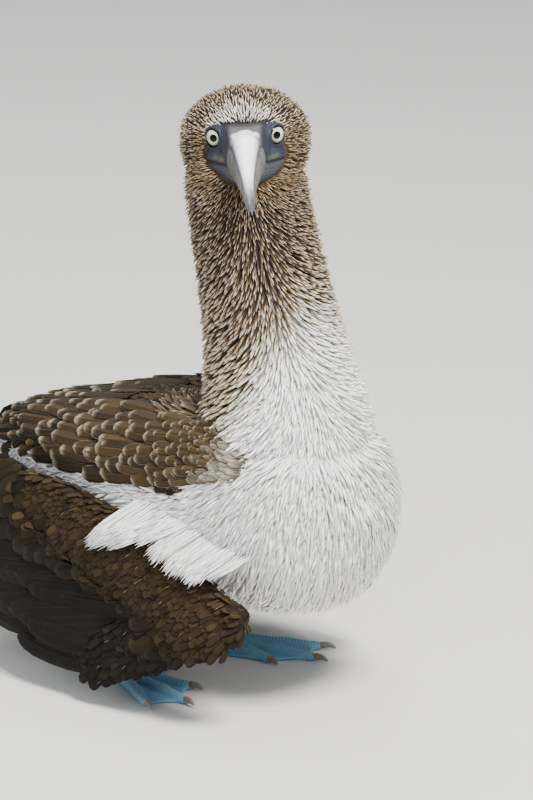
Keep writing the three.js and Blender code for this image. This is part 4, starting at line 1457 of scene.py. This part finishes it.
grown(
    "head_feathers", roots, normals, lie, length, width, rise, SPIKE,
    {
        "white": np.clip(0.85 * forehead + random.normal(0, 0.05, count), 0, 1),
        "warm": np.clip(cheek * 0.85 + 0.08 + random.normal(0, 0.1, count), 0, 1),
        "shade": random.uniform(0, 0.9, count) ** 2,
        "tip": np.clip(
            0.27 + 0.25 * forehead + 0.25 * margin - 0.05 * low + random.normal(0, 0.07, count), 0.1, 1
        ),
    },
    streaked_feathers,
    "feathers_streaked",
    thick=0.25,
    sink=0.4,
)
skin_places = body_points(skin)
below_brow = smoothstep(-to_head(skin_places)[:, 2], -9, -4)
add_share(skin, "warm", 0.35 * below_brow * np.exp(-((from_face(skin_places) / 3.5) ** 2)))

# %% Neck feathers
NECK_COAT_BOTTOM = 190


def neck_spacing(points):
    return np.interp(points[:, 2], (NECK_COAT_BOTTOM, 260, HEAD_BOTTOM), (2.7, 2.05, 1.5))


roots, normals = scattered(
    skin, neck_spacing, lambda p: (p[:, 2] <= HEAD_BOTTOM + 2) & (p[:, 2] > NECK_COAT_BOTTOM), seed=21
)
inside_torso = (roots[:, 2] < TORSO_TOP) & (roots[:, 1] > -25)
roots, normals = roots[~inside_torso], normals[~inside_torso]
random = np.random.default_rng(22)
count = len(roots)
down = (HEAD_BOTTOM - roots[:, 2]) / 150
white = whiteness(roots)
lie = unit(neck_lie(roots) + random.normal(0, 0.1, (count, 3)))
nape = smoothstep(np.abs(neck_angle(roots)), 1.7, 2.4) * down
length = (10.5 + 6.0 * down) * random.uniform(0.8, 1.15, count)
width = (1.0 + 1.7 * down) * random.uniform(0.75, 1.25, count)
rise = np.radians(29 - 12 * down + random.normal(0, 5, count))
grown(
    "neck_feathers", roots, normals, lie, length, width, rise, SPIKE,
    {
        "white": np.clip(white * 1.2 + random.normal(0, 0.1, count), 0, 1),
        "warm": np.clip(0.12 + 0.15 * down + 0.4 * nape + random.normal(0, 0.12, count), 0, 1),
        "shade": random.uniform(0, 0.8, count) ** 2,
        "tip": np.clip(
            0.17 + 0.3 * down + 0.35 * white - 0.4 * nape + random.normal(0, 0.06, count), 0.1, 0.9
        ),
    },
    streaked_feathers,
    "feathers_streaked",
    thick=0.3,
    sink=0.5,
)

# %% [markdown]
# Breast, belly and flanks
#
# White body feathers are narrow and soft, and each covers most of the next. Among them grow finer plumes
# that stand up more and break up the edges, as down does at the hem of the belly.

# %% White body feathers
def on_mound(points, grow):
    """True on the mound of the shoulder feathers, made larger or smaller by grow."""
    side = np.where(points[:, 0] > 0, 1, -1)
    share = np.clip((points[:, 1] - TORSO_ALONG[0]) / (TORSO_ALONG[1] - TORSO_ALONG[0]), 0, 1)
    rows = spline(torso.stations, share)
    x, z = points[:, 0] / rows[:, 3], (points[:, 2] - rows[:, 2]) / rows[:, 4]
    around = np.arctan2(side * x, z) * AROUND_RADIUS
    a = (points[:, 1] - MOUND_AT[0]) / (MOUND_LONG * grow)
    b = (around - MOUND_AT[1]) / (MOUND_WIDE * grow)
    return (a * a + b * b < 1) & (np.hypot(x, z) < 1.12)


def lower_body(points):
    back = np.abs(np.arctan2(points[:, 0], points[:, 2] - TORSO_AXIS_HEIGHT)) < math.radians(80)
    white = whiteness(points)
    white_enough = (white > 0.2) & ((white > 0.35) | ~back)
    return (points[:, 2] <= TORSO_TOP + 16) & white_enough & ~on_mound(points, 0.84)


roots, normals = scattered(skin, even(2.2), lower_body, seed=31)
random = np.random.default_rng(32)
count = len(roots)
low = smoothstep(TORSO_TOP + 20 - roots[:, 2], 0, 60)
lie = blended(neck_lie(roots), body_lie(roots), smoothstep(200 - roots[:, 2], 0, 50))
lie = unit(lie + random.normal(0, 0.18, (count, 3)))
length = (13 + 5 * low) * random.uniform(0.8, 1.2, count)
width = (2.3 + 0.7 * low) * random.uniform(0.7, 1.3, count)
rise = np.radians(10 + random.normal(0, 3, count))
grown(
    "white_feathers_coat", roots, normals, lie, length, width, rise, WHITE_PLUME,
    {"shade": random.uniform(0, 1, count)},
    white_feathers,
    "feathers_white",
    thick=0.3,
    sink=0.4,
)

roots, normals = scattered(skin, even(3.6), lower_body, seed=34)
count = len(roots)
lie = blended(neck_lie(roots), body_lie(roots), smoothstep(200 - roots[:, 2], 0, 50))
lie = unit(lie + random.normal(0, 0.28, (count, 3)))
rise = np.radians(17 + random.normal(0, 5, count))
length = random.uniform(9, 17, count)
width = random.uniform(0.8, 1.4, count)
grown(
    "white_plumes", roots, normals, lie, length, width, rise, WHITE_PLUME,
    {"shade": random.uniform(0, 0.4, count)},
    white_feathers,
    "feathers_white",
    curl=-0.7,
    thick=0.25,
)

# %% [markdown]
# Back and shoulders
#
# Feathers of the back are rounded, brown, with a pale fringe. At the root of the neck they are as small as
# scales. Over the shoulders they grow row by row into the big scapulars, which carry a pale rim and tip.

# %% Small feathers of the neck's base and the back
def brown_back(points):
    low_neck = (points[:, 2] < 226) | (points[:, 1] > -30)
    return low_neck & (points[:, 2] < 232) & (whiteness(points) < 0.4) & ~on_mound(points, 0.55)


def back_spacing(points):
    return np.interp(points[:, 1], (-150, -60, 0, 70, 170), (3.0, 3.0, 4.6, 6.5, 7.5))


roots, normals = scattered(skin, back_spacing, brown_back, seed=41)
random = np.random.default_rng(42)
count = len(roots)
rear = smoothstep(roots[:, 1], -50, 90)
white = whiteness(roots)
lie = blended(neck_lie(roots), body_lie(roots), smoothstep(roots[:, 1], -90, -30))
lie = unit(lie + random.normal(0, 0.1, (count, 3)))
length = (9.5 + 9.5 * rear) * random.uniform(0.85, 1.2, count)
width = (4.2 + 5.0 * rear) * random.uniform(0.85, 1.15, count)
rise = np.radians(15 + random.normal(0, 4, count))
grown(
    "back_feathers", roots, normals, lie, length, width, rise, BODY_FEATHER,
    {
        "shade": random.uniform(0, 1, count),
        "warm": np.clip(0.35 + 0.3 * rear + random.normal(0, 0.2, count), 0, 1),
        "pale": np.clip(0.2 + 0.5 * white + random.normal(0, 0.25, count) ** 2, 0, 1),
        "white": np.clip(white * 1.8 + random.normal(0, 0.12, count) - 0.3, 0, 1),
    },
    mantle_feathers,
    "feathers_mantle",
    fray=(1.2, 43),
    camber=0.25,
    thick=0.35,
    sink=0.8,
)

# %% Scapular rows
SCAPULAR_START, SCAPULAR_END = -94, 82


def scapular_rows(side, seed):
    """Roots, headings and sizes of the shoulder feathers, in staggered rows that grow to the rear."""
    random = np.random.default_rng(seed)
    rows = []
    along = SCAPULAR_START
    odd = False
    while along < SCAPULAR_END:
        share = (along - SCAPULAR_START) / (SCAPULAR_END - SCAPULAR_START)
        width = float(np.interp(share, (0, 0.1, 0.25, 0.4, 0.7, 1), (3.8, 5, 8.5, 12.5, 16.5, 18.5)))
        step = width * 0.62
        reach = 50 * math.sqrt(max(0.1, 1 - (share * 1.25 - 0.6) ** 2))
        across = np.arange(-reach, reach * 0.74, step) + (step / 2 if odd else 0)
        for offset in across:
            rows.append(
                (
                    along + random.normal(0, 0.18) * width + 0.04 * abs(offset),
                    MOUND_AT[1] + offset + random.normal(0, 0.08) * width,
                    0.05 + 0.0035 * offset + random.normal(0, 0.12),
                    (width * 1.9 + 5 + 24 * share**3) * random.uniform(0.88, 1.12),
                    width * random.uniform(0.88, 1.12),
                    share,
                )
            )
        along += width * 0.72
        odd = not odd
    return np.array(rows)


for side, name in SIDES:
    rows = scapular_rows(side, 51 + side)
    surface = shoulder_surface(side)
    roots = surface(rows[:, 0], rows[:, 1], np.zeros(len(rows)))
    rows, roots = rows[roots[:, 2] < 196], roots[roots[:, 2] < 196]
    random = np.random.default_rng(53 + side)
    count = len(rows)
    share = rows[:, 5]
    front = smoothstep(-share, -0.3, -0.08)
    lift = np.column_stack([-2.6 + 0 * share, 0.6 + 1.8 * share])
    lift = lift + random.normal(0, 0.35, (count, 1))
    tilt = random.normal(0.02, 0.05, (count, 1, 1))
    rows = np.column_stack([rows[:, :5], lift])
    points = laid(surface, rows, COVERT, tilt=tilt, camber=0.16)
    blade_piece(
        "scapulars_coat_" + name,
        frayed(points, COVERT, 1.0, 55),
        COVERT,
        unwrapped(roots, chart_of(roots)),
        {
            "shade": random.uniform(0, 1, count),
            "warm": np.clip(0.55 - 0.5 * share + random.normal(0, 0.14, count), 0, 1),
            "pale": np.clip(0.2 + 0.6 * share * random.uniform(0, 1.5, count) ** 2, 0, 1),
            "white": front * np.clip(whiteness(roots) - 0.55 + random.normal(0, 0.1, count), 0, 0.5),
        },
        mantle_feathers,
        "feathers_mantle",
    )
    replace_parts(bpy.data.objects["scapulars_coat_" + name], "scapulars_" + name)

# %% [markdown]
# Wings
#
# The wing hangs with its wrist low in front, its forearm rising to the elbow under the scapulars and its
# hand folded back below. Flesh pads carry rows of long feathers: ten primaries on the hand, sixteen
# secondaries and the tertials on the forearm, with shorter rows under and over them, then coverts. Small
# coverts like scales and a few bright streaks hide the flesh.

# %% Wing bones, rows and surfaces
ELBOW = np.array((74.0, 130.0))
WRIST = np.array((-124.0, 74.0))
HAND_END = np.array((2.0, 23.0))


def between(a, b, share, off=0.0):
    """Places along a bone, moved aside by off."""
    slope = math.atan2(b[1] - a[1], b[0] - a[0])
    share = np.asarray(share, float)[..., None]
    return a + (b - a) * share + np.array((-off * math.sin(slope), off * math.cos(slope)))


def row_of(bone, count, first, last, arch, jitter, seed):
    """Roots, heading, length, width and both lifts of a row, which run evenly from its first to its last.

    Each end is given as share and distance off on a bone, heading, length, width, root lift and tip lift.
    """
    random = np.random.default_rng(seed)
    share = np.linspace(0, 1, count)[:, None]
    first, last = (np.array((*between(*bone, end[0], end[1]), *end[2:])) for end in (first, last))
    values = first * (1 - share) + last * share
    values[:, 3] += arch * np.sin(np.pi * share[:, 0])
    values[:, 2] += random.normal(0, 0.012 + jitter * 0.05, count)
    values[:, 3] *= 1 + random.normal(0, 0.008 + jitter * 0.04, count)
    values[:, 5:] += random.normal(0, 0.06 + jitter * 0.2, (count, 1))
    return values


FOREARM = (WRIST, ELBOW)
HAND = (WRIST, HAND_END)
# A row's bone, count, arch, jitter and seed, its blades' tilt and bend, then its first and last end.
FLIGHT_ROWS = (
    (HAND, 10, 0, 0, 1, -0.1, 0.09,
     (0.94, 10, 0.05, 168, 23, -7, -6), (0.56, -9, -0.04, 342, 16, -9, -14)),
    (FOREARM, 16, 14, 0, 2, 0.085, 0.2,
     (0.1, -5, -0.2, 110, 24, -3, -3.4), (0.98, -5, -0.46, 138, 27, -3, -2)),
    (FOREARM, 9, 0, 0, 8, 0.06, 0.1,
     (0.05, -9, -0.25, 148, 24, -4.6, -5), (0.6, -9, -0.36, 146, 26, -4.6, -5)),
    (HAND, 7, 0, 0, 9, -0.06, 0.2,
     (0.06, -12, -0.34, 78, 15, -5, -6), (0.8, -10, -0.06, 84, 17, -5.6, -6.4)),
    (HAND, 9, 0, 0, 4, -0.09, 0.34,
     (0.86, 7, -0.1, 62, 17, -3.4, -3.8), (0.24, -12, -0.42, 82, 15, -3.4, -4.2)),
    (FOREARM, 4, 0, 0, 3, 0.1, 0.1,
     (1, -4, -0.38, 158, 29, -3, -1.6), (0.98, 5, -0.16, 136, 29, -2, -0.6)),
)
COVERT_ROWS = (
    (HAND, 3, 0, 0.5, 5, -0.1, 0.3,
     (0.22, -3, -0.42, 50, 15, -2, -0.8), (0.08, -8, -0.62, 40, 12, -2, -0.8)),
    (FOREARM, 20, 0, 0.8, 6, 0.085, 0.14,
     (0.04, -6, -0.32, 46, 15, 0.2, 0.5), (1.1, -4, -0.44, 66, 18, 0.4, 1.4)),
    (FOREARM, 24, 0, 1.4, 7, 0.085, 0.1,
     (0.03, -4, -0.44, 30, 12, 1.4, 1.6), (1.12, 0, -0.46, 42, 15, 1.6, 2.6)),
    (FOREARM, 26, 0, 1.8, 10, 0.085, 0.1,
     (0.02, 2, -0.5, 22, 10, 2.6, 2.8), (1.12, 8, -0.46, 34, 13, 2.8, 3.6)),
)


def laid_rows(surface, table, kind):
    blades, rows = [], []
    for bone, count, arch, jitter, seed, tilt, bend, first, last in table:
        rows.append(row_of(bone, count, first, last, arch, jitter, seed))
        blades.append(laid(surface, rows[-1], kind, tilt=tilt, bend=bend, camber=0.1))
    return np.concatenate(blades), np.concatenate(rows)


def wing_uv(roots, side):
    """A wing unrolls as a plain map of along and up."""
    along = (roots[:, 1] - wing_back(side) + 160) / 360
    return np.column_stack([0.04 + 0.92 * along, 0.04 + 0.4 * roots[:, 2] / 170])


def wing_skin(side, name):
    surface = wing_surface(side)
    slopes = [math.atan2(*(end - start)[::-1]) for start, end in (FOREARM, HAND)]
    upper_arm_at = (60 + wing_back(side) / 2, 84)
    piece = fused(
        "wing_skin_" + name,
        [
            pad("forearm_pad", surface, between(*FOREARM, 0.47), 118, 24, 6.5, slopes[0], -2.0),
            pad("wrist_pad", surface, WRIST + (22, -6), 31, 25, 7.5, slopes[0], -2.5),
            pad("hand_pad", surface, between(*HAND, 0.46), 80, 23, 5, slopes[1], -7.5),
            pad("upper_arm_pad", torso_surface(side), upper_arm_at, 45, 20, 6, 0.0, -5.0),
        ],
        2.2,
        smoothing=3,
    )
    points = body_points(piece)
    uv = wing_uv(points, side)
    outside = np.abs(points[:, 0]) > np.abs(surface(points[:, 1], points[:, 2], -3.0)[:, 0])
    uv[:, 1] += np.where(outside, 0.0, 0.5)
    add_unwrap(piece, uv[read(piece.data.loops, "vertex_index", kind=int)])
    piece.data.materials.append(covert_feathers)
    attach(piece, "root")
    return piece


# %% Both wings
def below_forearm(points, side):
    """How far down from the forearm's upper edge."""
    along = points[:, 1] - wing_back(side)
    slope = (ELBOW[1] - WRIST[1]) / (ELBOW[0] - WRIST[0])
    return WRIST[1] + (along - WRIST[0]) * slope + 24 - points[:, 2]


def covert_size(points, side):
    """From 0 at the wing's front edge to 1 where the median coverts take over."""
    rear = np.clip((points[:, 1] - wing_back(side) - WRIST[0]) / 190, 0, 1)
    return smoothstep(below_forearm(points, side) + 16 * rear, -4, 62)


for side, name in SIDES:
    surface = wing_surface(side)
    piece = wing_skin(side, name)
    points, rows = laid_rows(surface, FLIGHT_ROWS, FLIGHT_FEATHER)
    random = np.random.default_rng(61 + side)
    count = len(rows)
    blade_piece(
        "flight_feathers_" + name,
        points,
        FLIGHT_FEATHER,
        wing_uv(surface(rows[:, 0], rows[:, 1], rows[:, 5]), side),
        {
            "shade": random.uniform(0, 1, count),
            "warm": random.uniform(0, 0.12, count),
            "pale": np.full(count, 0.1),
        },
        flight_feathers,
        "feathers_flight",
    )
    points, rows = laid_rows(surface, COVERT_ROWS, COVERT)
    count = len(rows)
    blade_piece(
        "coverts_" + name,
        frayed(points, COVERT, 1.0, 62),
        COVERT,
        wing_uv(surface(rows[:, 0], rows[:, 1], rows[:, 5]), side),
        {
            "shade": random.uniform(0, 1, count),
            "warm": random.uniform(0, 0.25, count),
            "pale": random.uniform(0, 0.5, count),
        },
        covert_feathers,
        "feathers_wing",
    )

    def outer(points):
        along = points[:, 1] - wing_back(side)
        outside = side * points[:, 0] > np.abs(surface(along, points[:, 2], -9.0)[:, 0])
        fall = (along - WRIST[0]) * (HAND_END[1] - WRIST[1]) / (HAND_END[0] - WRIST[0])
        below_hand = HAND[0][1] + fall - points[:, 2]
        on_hand = (along < -14 - 0.7 * below_hand) & (below_hand < 18)
        on_wing = on_hand | (below_forearm(points, side) < 40)
        return outside & on_wing & ((along < 20) | (points[:, 2] < 158))

    roots, normals = scattered(piece, lambda p: 2.1 + 1.5 * covert_size(p, side), outer, seed=63)
    count = len(roots)
    size = covert_size(roots, side)
    lie = unit(np.array((0.0, 1.0, -0.85)) + random.normal(0, 0.13, (count, 3)))
    low = smoothstep(below_forearm(roots, side), 14, 80)
    length = (7.5 + 8.5 * size) * random.uniform(0.85, 1.2, count)
    width = (3.4 + 4.6 * size) * random.uniform(0.85, 1.15, count)
    rise = np.radians(7 + random.normal(0, 2, count))
    grown(
        "small_coverts_" + name, roots, normals, lie, length, width, rise, BODY_FEATHER,
        {
            "shade": random.uniform(0.1, 0.7, count) * (1 - 0.5 * low),
            "warm": np.clip(0.45 * (1 - low) + random.normal(0, 0.12, count), 0, 1),
            "pale": random.uniform(0, 0.45, count) * (1 - 0.7 * low),
        },
        covert_feathers,
        "feathers_wing",
        curl=-0.5,
        fray=(0.9, 64),
        root_uv=wing_uv(roots, side),
        camber=0.03,
        thick=0.14,
        sink=0.2,
    )
    roots, normals = scattered(piece, even(10), outer, seed=65)
    count = len(roots)
    lie = unit(np.array((0.0, 1.0, -1.05)) + random.normal(0, 0.12, (count, 3)))
    rise = np.radians(17 + random.normal(0, 4, count))
    length = random.uniform(7, 12, count)
    width = random.uniform(0.6, 1.0, count)
    grown(
        "wing_streaks_" + name, roots, normals, lie, length, width, rise, SPIKE,
        {
            "white": np.zeros(count),
            "warm": random.uniform(0.6, 1, count),
            "shade": random.uniform(0.5, 1, count),
            "tip": random.uniform(0.1, 0.35, count),
        },
        streaked_feathers,
        "feathers_wing",
        curl=-0.7,
        root_uv=wing_uv(roots, side),
        thick=0.3,
    )
    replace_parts(piece, "forearm_" + name, "hand_" + name)

# %% [markdown]
# Flank tufts
#
# Where the flank meets the folded wing, long white plumes spill out over the wing's front edge in lobes.

# %% White plumes over the wing
# Where a tuft starts, along and up, and its half width there, the same of its end, and its plumes.
TUFTS = (
    (-46, 139, 14, -6, 105, 4.0, 260),
    (-60, 136, 13, -23, 110, 6.0, 220),
    (-70, 136, 11, -47, 116, 7.0, 170),
    (-82, 132, 11, -65, 106, 7.0, 170),
    (-96, 127, 11, -82, 99, 8.0, 150),
    (-110, 124, 11, -98, 96, 9.0, 150),
    (-121, 121, 9, -113, 101, 8.0, 110),
)

for side, name in SIDES:
    random = np.random.default_rng(71 + side)
    blades = []
    places = []
    for along, up, half_width, tip_along, tip_up, tip_half_width, count in TUFTS:
        heading = math.atan2(tip_up - up, tip_along - along)
        ahead = np.array((math.cos(heading), math.sin(heading)))
        aside = np.array((-ahead[1], ahead[0]))
        across = random.uniform(-1, 1, (count, 1))
        behind = ahead * random.uniform(-4, 12, (count, 1))
        start = np.array((along, up)) + aside * across * half_width - behind
        drift = random.normal(0, 1.6, (count, 1))
        end = np.array((tip_along, tip_up)) + aside * (across * tip_half_width + drift)
        end = end - ahead * (6 * across**2 + random.uniform(0, 9, (count, 1)) ** 1.2)
        start[:, 0] += 0.8 * wing_back(side)
        end[:, 0] += 0.8 * wing_back(side)
        surface = flank_surface(side, up)
        way = np.arctan2(end[:, 1] - start[:, 1], end[:, 0] - start[:, 0])
        reach = np.hypot(*(end - start).T)
        lift = np.column_stack([random.uniform(-7, -3, count), random.uniform(-1.5, 3.5, count)])
        width = random.uniform(1.1, 2.4, count)
        rows = np.column_stack([start, way, reach, width, lift])
        blades.append(laid(surface, rows, FLANK_PLUME, camber=0.3, thick=0.4))
        places.append(surface(start[:, 0], start[:, 1], lift[:, 0]))
    roots = np.concatenate(places)
    blade_piece(
        "flank_plumes_" + name,
        np.concatenate(blades),
        FLANK_PLUME,
        unwrapped(roots, chart_of(roots)),
        {"shade": random.uniform(0, 0.4, len(roots))},
        white_feathers,
        "feathers_white",
    )

# %% [markdown]
# Tail
#
# Twelve stiff feathers form a wedge, the middle pair longest and on top, under a few rows of coverts.

# %% Tail feathers
TAIL_PAIRS = 6
TAIL_ROOT = 172
rows = []
for pair in range(TAIL_PAIRS):
    for side in (-1, 1):
        share = pair / (TAIL_PAIRS - 1)
        level = -2.2 * pair - (1.1 if side < 0 else 0)
        heading = side * (0.015 + 0.15 * share)
        size = (176 - 80 * share, 21 - 2 * share)
        rows.append((TAIL_ROOT, side * (3 + 17 * share), heading, *size, 1 + level * 0.7, 1 + level))
rows = np.array(rows)
random = np.random.default_rng(81)


# How far along a row of coverts lies, how far it spreads, and its feathers' length and width.
TAIL_COVERTS = ((168, 22, 56, 15), (158, 25, 48, 14), (147, 28, 40, 13))


def tail_uv(rows):
    return np.column_stack([0.5 + rows[:, 1] / 100, 0.05 + 0.9 * (rows[:, 0] - 140) / 60])


tail_piece = blade_piece(
    "tail_feathers",
    laid(tail_surface, rows, FLIGHT_FEATHER, camber=0.08),
    FLIGHT_FEATHER,
    tail_uv(rows),
    {
        "shade": random.uniform(0, 1, len(rows)),
        "warm": np.full(len(rows), 0.1),
        "pale": np.full(len(rows), 0.45),
    },
    flight_feathers,
    "feathers_flight",
)
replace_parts(tail_piece, "tail")
rows = []
for ring, (along, spread, length, width) in enumerate(TAIL_COVERTS):
    for across in np.linspace(-spread, spread, 9):
        size = (length - abs(across) * 0.35, width)
        rows.append((along, across, across * 0.009, *size, 2 + 2 * ring, 4 + 1.6 * ring))
        rows.append((along - 4, across * 0.8, across * 0.007, length, width, -16 + ring, -17 + ring))
rows = np.array(rows)
rows[:, 2] += random.normal(0, 0.05, len(rows))
rows[:, 3] *= random.uniform(0.9, 1.1, len(rows))
under = rows[:, 5] < 0
for chosen, name, paint, body_slot in (
    (~under, "tail_coverts", mantle_feathers, "feathers_mantle"),
    (under, "under_tail_coverts", white_feathers, "feathers_white"),
):
    r = rows[chosen]
    points = laid(tail_surface, r, COVERT, camber=0.15)
    blade_piece(
        name,
        frayed(points, COVERT, 1.6, 82),
        COVERT,
        tail_uv(r),
        {
            "shade": random.uniform(0, 1, len(r)),
            "warm": np.full(len(r), 0.35),
            "pale": np.full(len(r), 0.5),
        },
        paint,
        body_slot,
    )

# %% [markdown]
# Legs and feet
#
# All four toes are joined by one web, as in every booby. Toes, web and ankle are melted together, then
# rows of scutes are raised along the tops of the toes and the web is pebbled. The claws are grey horn.

# %% Foot forms
FOOT_APART = 52
FOOT_BACK = 15
FOOT_SPLAY = math.radians(10)
# Each toe's angle in degrees, its length and its thickness.
TOES = ((20, 74, 4.6), (0, 80, 4.8), (-22, 60, 4.4), (-64, 32, 3.8))
WEB_THICKNESS = 2.2
FOOT_VOXEL = 0.85
SCUTE_LENGTH = 2.3


def from_foot(points, side):
    turn = np.array(Matrix.Rotation(side * FOOT_SPLAY, 3, "Z"))
    return np.asarray(points, float) @ turn.T + (side * FOOT_APART, FOOT_BACK, -BODY_RAISE)


def to_foot(points, side):
    turn = np.array(Matrix.Rotation(side * FOOT_SPLAY, 3, "Z"))
    return (points - (side * FOOT_APART, FOOT_BACK, -BODY_RAISE)) @ turn


def toe_tip(toe, side):
    angle = math.radians(toe[0])
    return np.array((side * math.sin(angle) * toe[1], -math.cos(angle) * toe[1], 0.0))


def toe_body(toe, side):
    tip = toe_tip(toe, side)
    thick = toe[2]
    rows = ((-0.06, 4.5, 5), (0.25, 3.6, thick), (0.5, 3.2, 0.86 * thick), (0.62, 3.2, 0.94 * thick))
    rows += ((0.8, 2.8, 0.76 * thick), (1, 2.6, 0.7 * thick))
    stations = [(tip[0] * share, tip[1] * share, height, size, size, size) for share, height, size in rows]
    return SpineBody(stations, 0.08, 0.08, across=(-tip[1], tip[0], 0))


def claw_body(toe, side):
    tip = toe_tip(toe, side)
    way = tip / np.linalg.norm(tip)
    rows = ((-5, 2.8, 1.8), (0, 3.6, 2.5), (5, 3.8, 1.9), (9.5, 1.8, 0.8))
    stations = [(*(tip + way * forward)[:2], high, size * 0.8, size, size) for forward, high, size in rows]
    return SpineBody(stations, 0.1, 0.12, across=(-way[1], way[0], 0))


def shank_body(side):
    return SpineBody(
        [
            (side * 51.5, 44, 56, 5.5, 5, 5),
            (side * 52, 43, 46, 7, 6, 6.4),
            (side * 52, 32, 28, 4.6, 5.2, 5.2),
            (side * 52, 21, 11, 5.6, 5.6, 5.6),
            (side * 52, 16, 2, 7, 6, 6),
        ],
        start_cap=0.08,
        end_cap=0.08,
        up=(0, 1, 0),
    )


def moved_to_foot(piece, side):
    """A form lofted in the foot's own frame, set down where the foot stands."""
    set_vertices(piece, from_foot(body_points(piece), side))
    return piece


def web_outline(side):
    """From the heel to the outer toe's tip, in shallow curves from tip to tip, and back to the heel."""
    tips = [toe_tip(toe, side)[:2] for toe in TOES]
    points = [np.array((side * 5.0, 7.0)), tips[0] * 0.97]
    for last, tip in zip(tips, tips[1:]):
        middle = (tip * 0.97 + last) * 0.43
        for t in np.linspace(0.1, 1, 10):
            points.append(last * 0.97 * (1 - t) ** 2 + middle * 2 * t * (1 - t) + tip * 0.97 * t * t)
    points.append(np.array((-side * 6.0, 7.0)))
    return np.array(points)


def web_form(side):
    outline = web_outline(side)
    bpy.ops.object.select_all(action="DESELECT")
    bpy.ops.mesh.primitive_circle_add(vertices=len(outline), radius=1, fill_type="NGON")
    piece = bpy.context.active_object
    flat = np.column_stack([outline, np.full(len(outline), 0.2)])
    set_vertices(piece, from_foot(flat, side))
    activate(piece)
    bpy.ops.object.mode_set(mode="EDIT")
    bpy.ops.mesh.select_all(action="SELECT")
    lift = {"value": (0, 0, WEB_THICKNESS * MM)}
    bpy.ops.mesh.extrude_region_move(TRANSFORM_OT_translate=lift)
    bpy.ops.object.mode_set(mode="OBJECT")
    turned_outward(piece)
    return piece


def foot_paint():
    material, n, shader = painted("foot_skin", 0.48, Subsurface_Weight=0.05)
    scales = {"Place": n.place(), "Scale": 900.0}
    grooves = n.group(skin_scales, scales, "Grooves")
    pebble = n.group(skin_scales, scales, "Pebble")
    cloud = mottled(n, 70.0, 1.4)
    color = n.mix(cloud, (0.10, 0.33, 0.52), (0.20, 0.47, 0.64))
    color = n.mix(n.times(pebble, 0.25), color, (0.34, 0.58, 0.70))
    color = n.tinted(color, (("scute", 0.35, (0.40, 0.62, 0.74)), ("seam", 0.5, (0.05, 0.15, 0.25))))
    color = n.mix(n.step(grooves, 0.0, 0.6, 0.35, 0.0), color, (0.06, 0.19, 0.31))
    n.feed(shader["Base Color"], color)
    n.feed(shader["Normal"], n.bump(n.math("MULTIPLY_ADD", cloud, 0.6, grooves), 0.0005, 0.5))
    return material


def claw_paint():
    material, n, shader = painted("claw_horn", 0.35)
    n.feed(shader["Base Color"], n.mix(n.noise(400.0), (0.10, 0.09, 0.08), (0.30, 0.27, 0.23)))
    return material


# %% Both feet
foot_skin = foot_paint()
claw_horn = claw_paint()
for side, name in SIDES:
    forms = [moved_to_foot(lofted("toe_form", toe_body(toe, side), 20, 40), side) for toe in TOES]
    forms.append(web_form(side))
    forms.append(lofted("shank_form", shank_body(side), 28, 40))
    ankle = unit_ball("ankle_form", 32, 20)
    set_vertices(ankle, from_foot(vertices_of(ankle) * (8, 8.8, 7.2) + (0, 1, 6.6), side))
    foot = fused("foot_piece_" + name, [*forms, ankle], FOOT_VOXEL, smoothing=5)
    points = to_foot(body_points(foot), side)
    normals = surface_arrays(foot)[1]
    scute = np.zeros(len(points))
    seam = np.zeros(len(points))
    for toe in TOES:
        tip = toe_tip(toe, side)
        way = tip / np.linalg.norm(tip)
        along = points[:, :2] @ way[:2]
        off = np.abs(points[:, 0] * way[1] - points[:, 1] * way[0])
        on_top = (along < toe[1] + 1) * (points[:, 2] > 2.6)
        on_toe = smoothstep(-off, -4.2, -2.4) * smoothstep(along, 8, 14) * on_top
        wave = 0.5 + 0.5 * np.cos(along * 2 * np.pi / SCUTE_LENGTH)
        scute = np.maximum(scute, on_toe * wave)
        seam = np.maximum(seam, on_toe * (1 - wave) ** 4)
    shin = smoothstep(points[:, 2], 11, 15)
    wave = 0.5 + 0.5 * np.cos(points[:, 2] * 2 * np.pi / SCUTE_LENGTH)
    front = smoothstep(-normals[:, 1], 0.1, 0.6) * shin
    scute = np.maximum(scute, front * wave)
    seam = np.maximum(seam, front * (1 - wave) ** 4)
    moved = body_points(foot) + normals * (0.35 * scute - 0.15 * seam)[:, None]
    moved[:, 2] = np.maximum(moved[:, 2], -BODY_RAISE)
    set_vertices(foot, moved)
    add_share(foot, "scute", scute)
    add_share(foot, "seam", seam)
    foot.data.materials.append(foot_skin)
    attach(foot, "root")
    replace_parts(foot, "foot_" + name, "shank_" + name)
    claws = joined(
        "claws_" + name,
        [moved_to_foot(lofted("claw", claw_body(toe, side), 20, 24), side) for toe in TOES],
    )
    smooth(claws)
    claws.data.materials.append(claw_horn)
    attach(claws, "root")
print("feet done")

# %% [markdown]
# The box of the finished bird
#
# The visible bird should fill the space that its solids fill. Both boxes are shown side by side.

# %% Sizes
def corners(box):
    return [list(box[0]), list(box[1])]


{"cad": corners(cad_box), "visual": corners(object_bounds())}
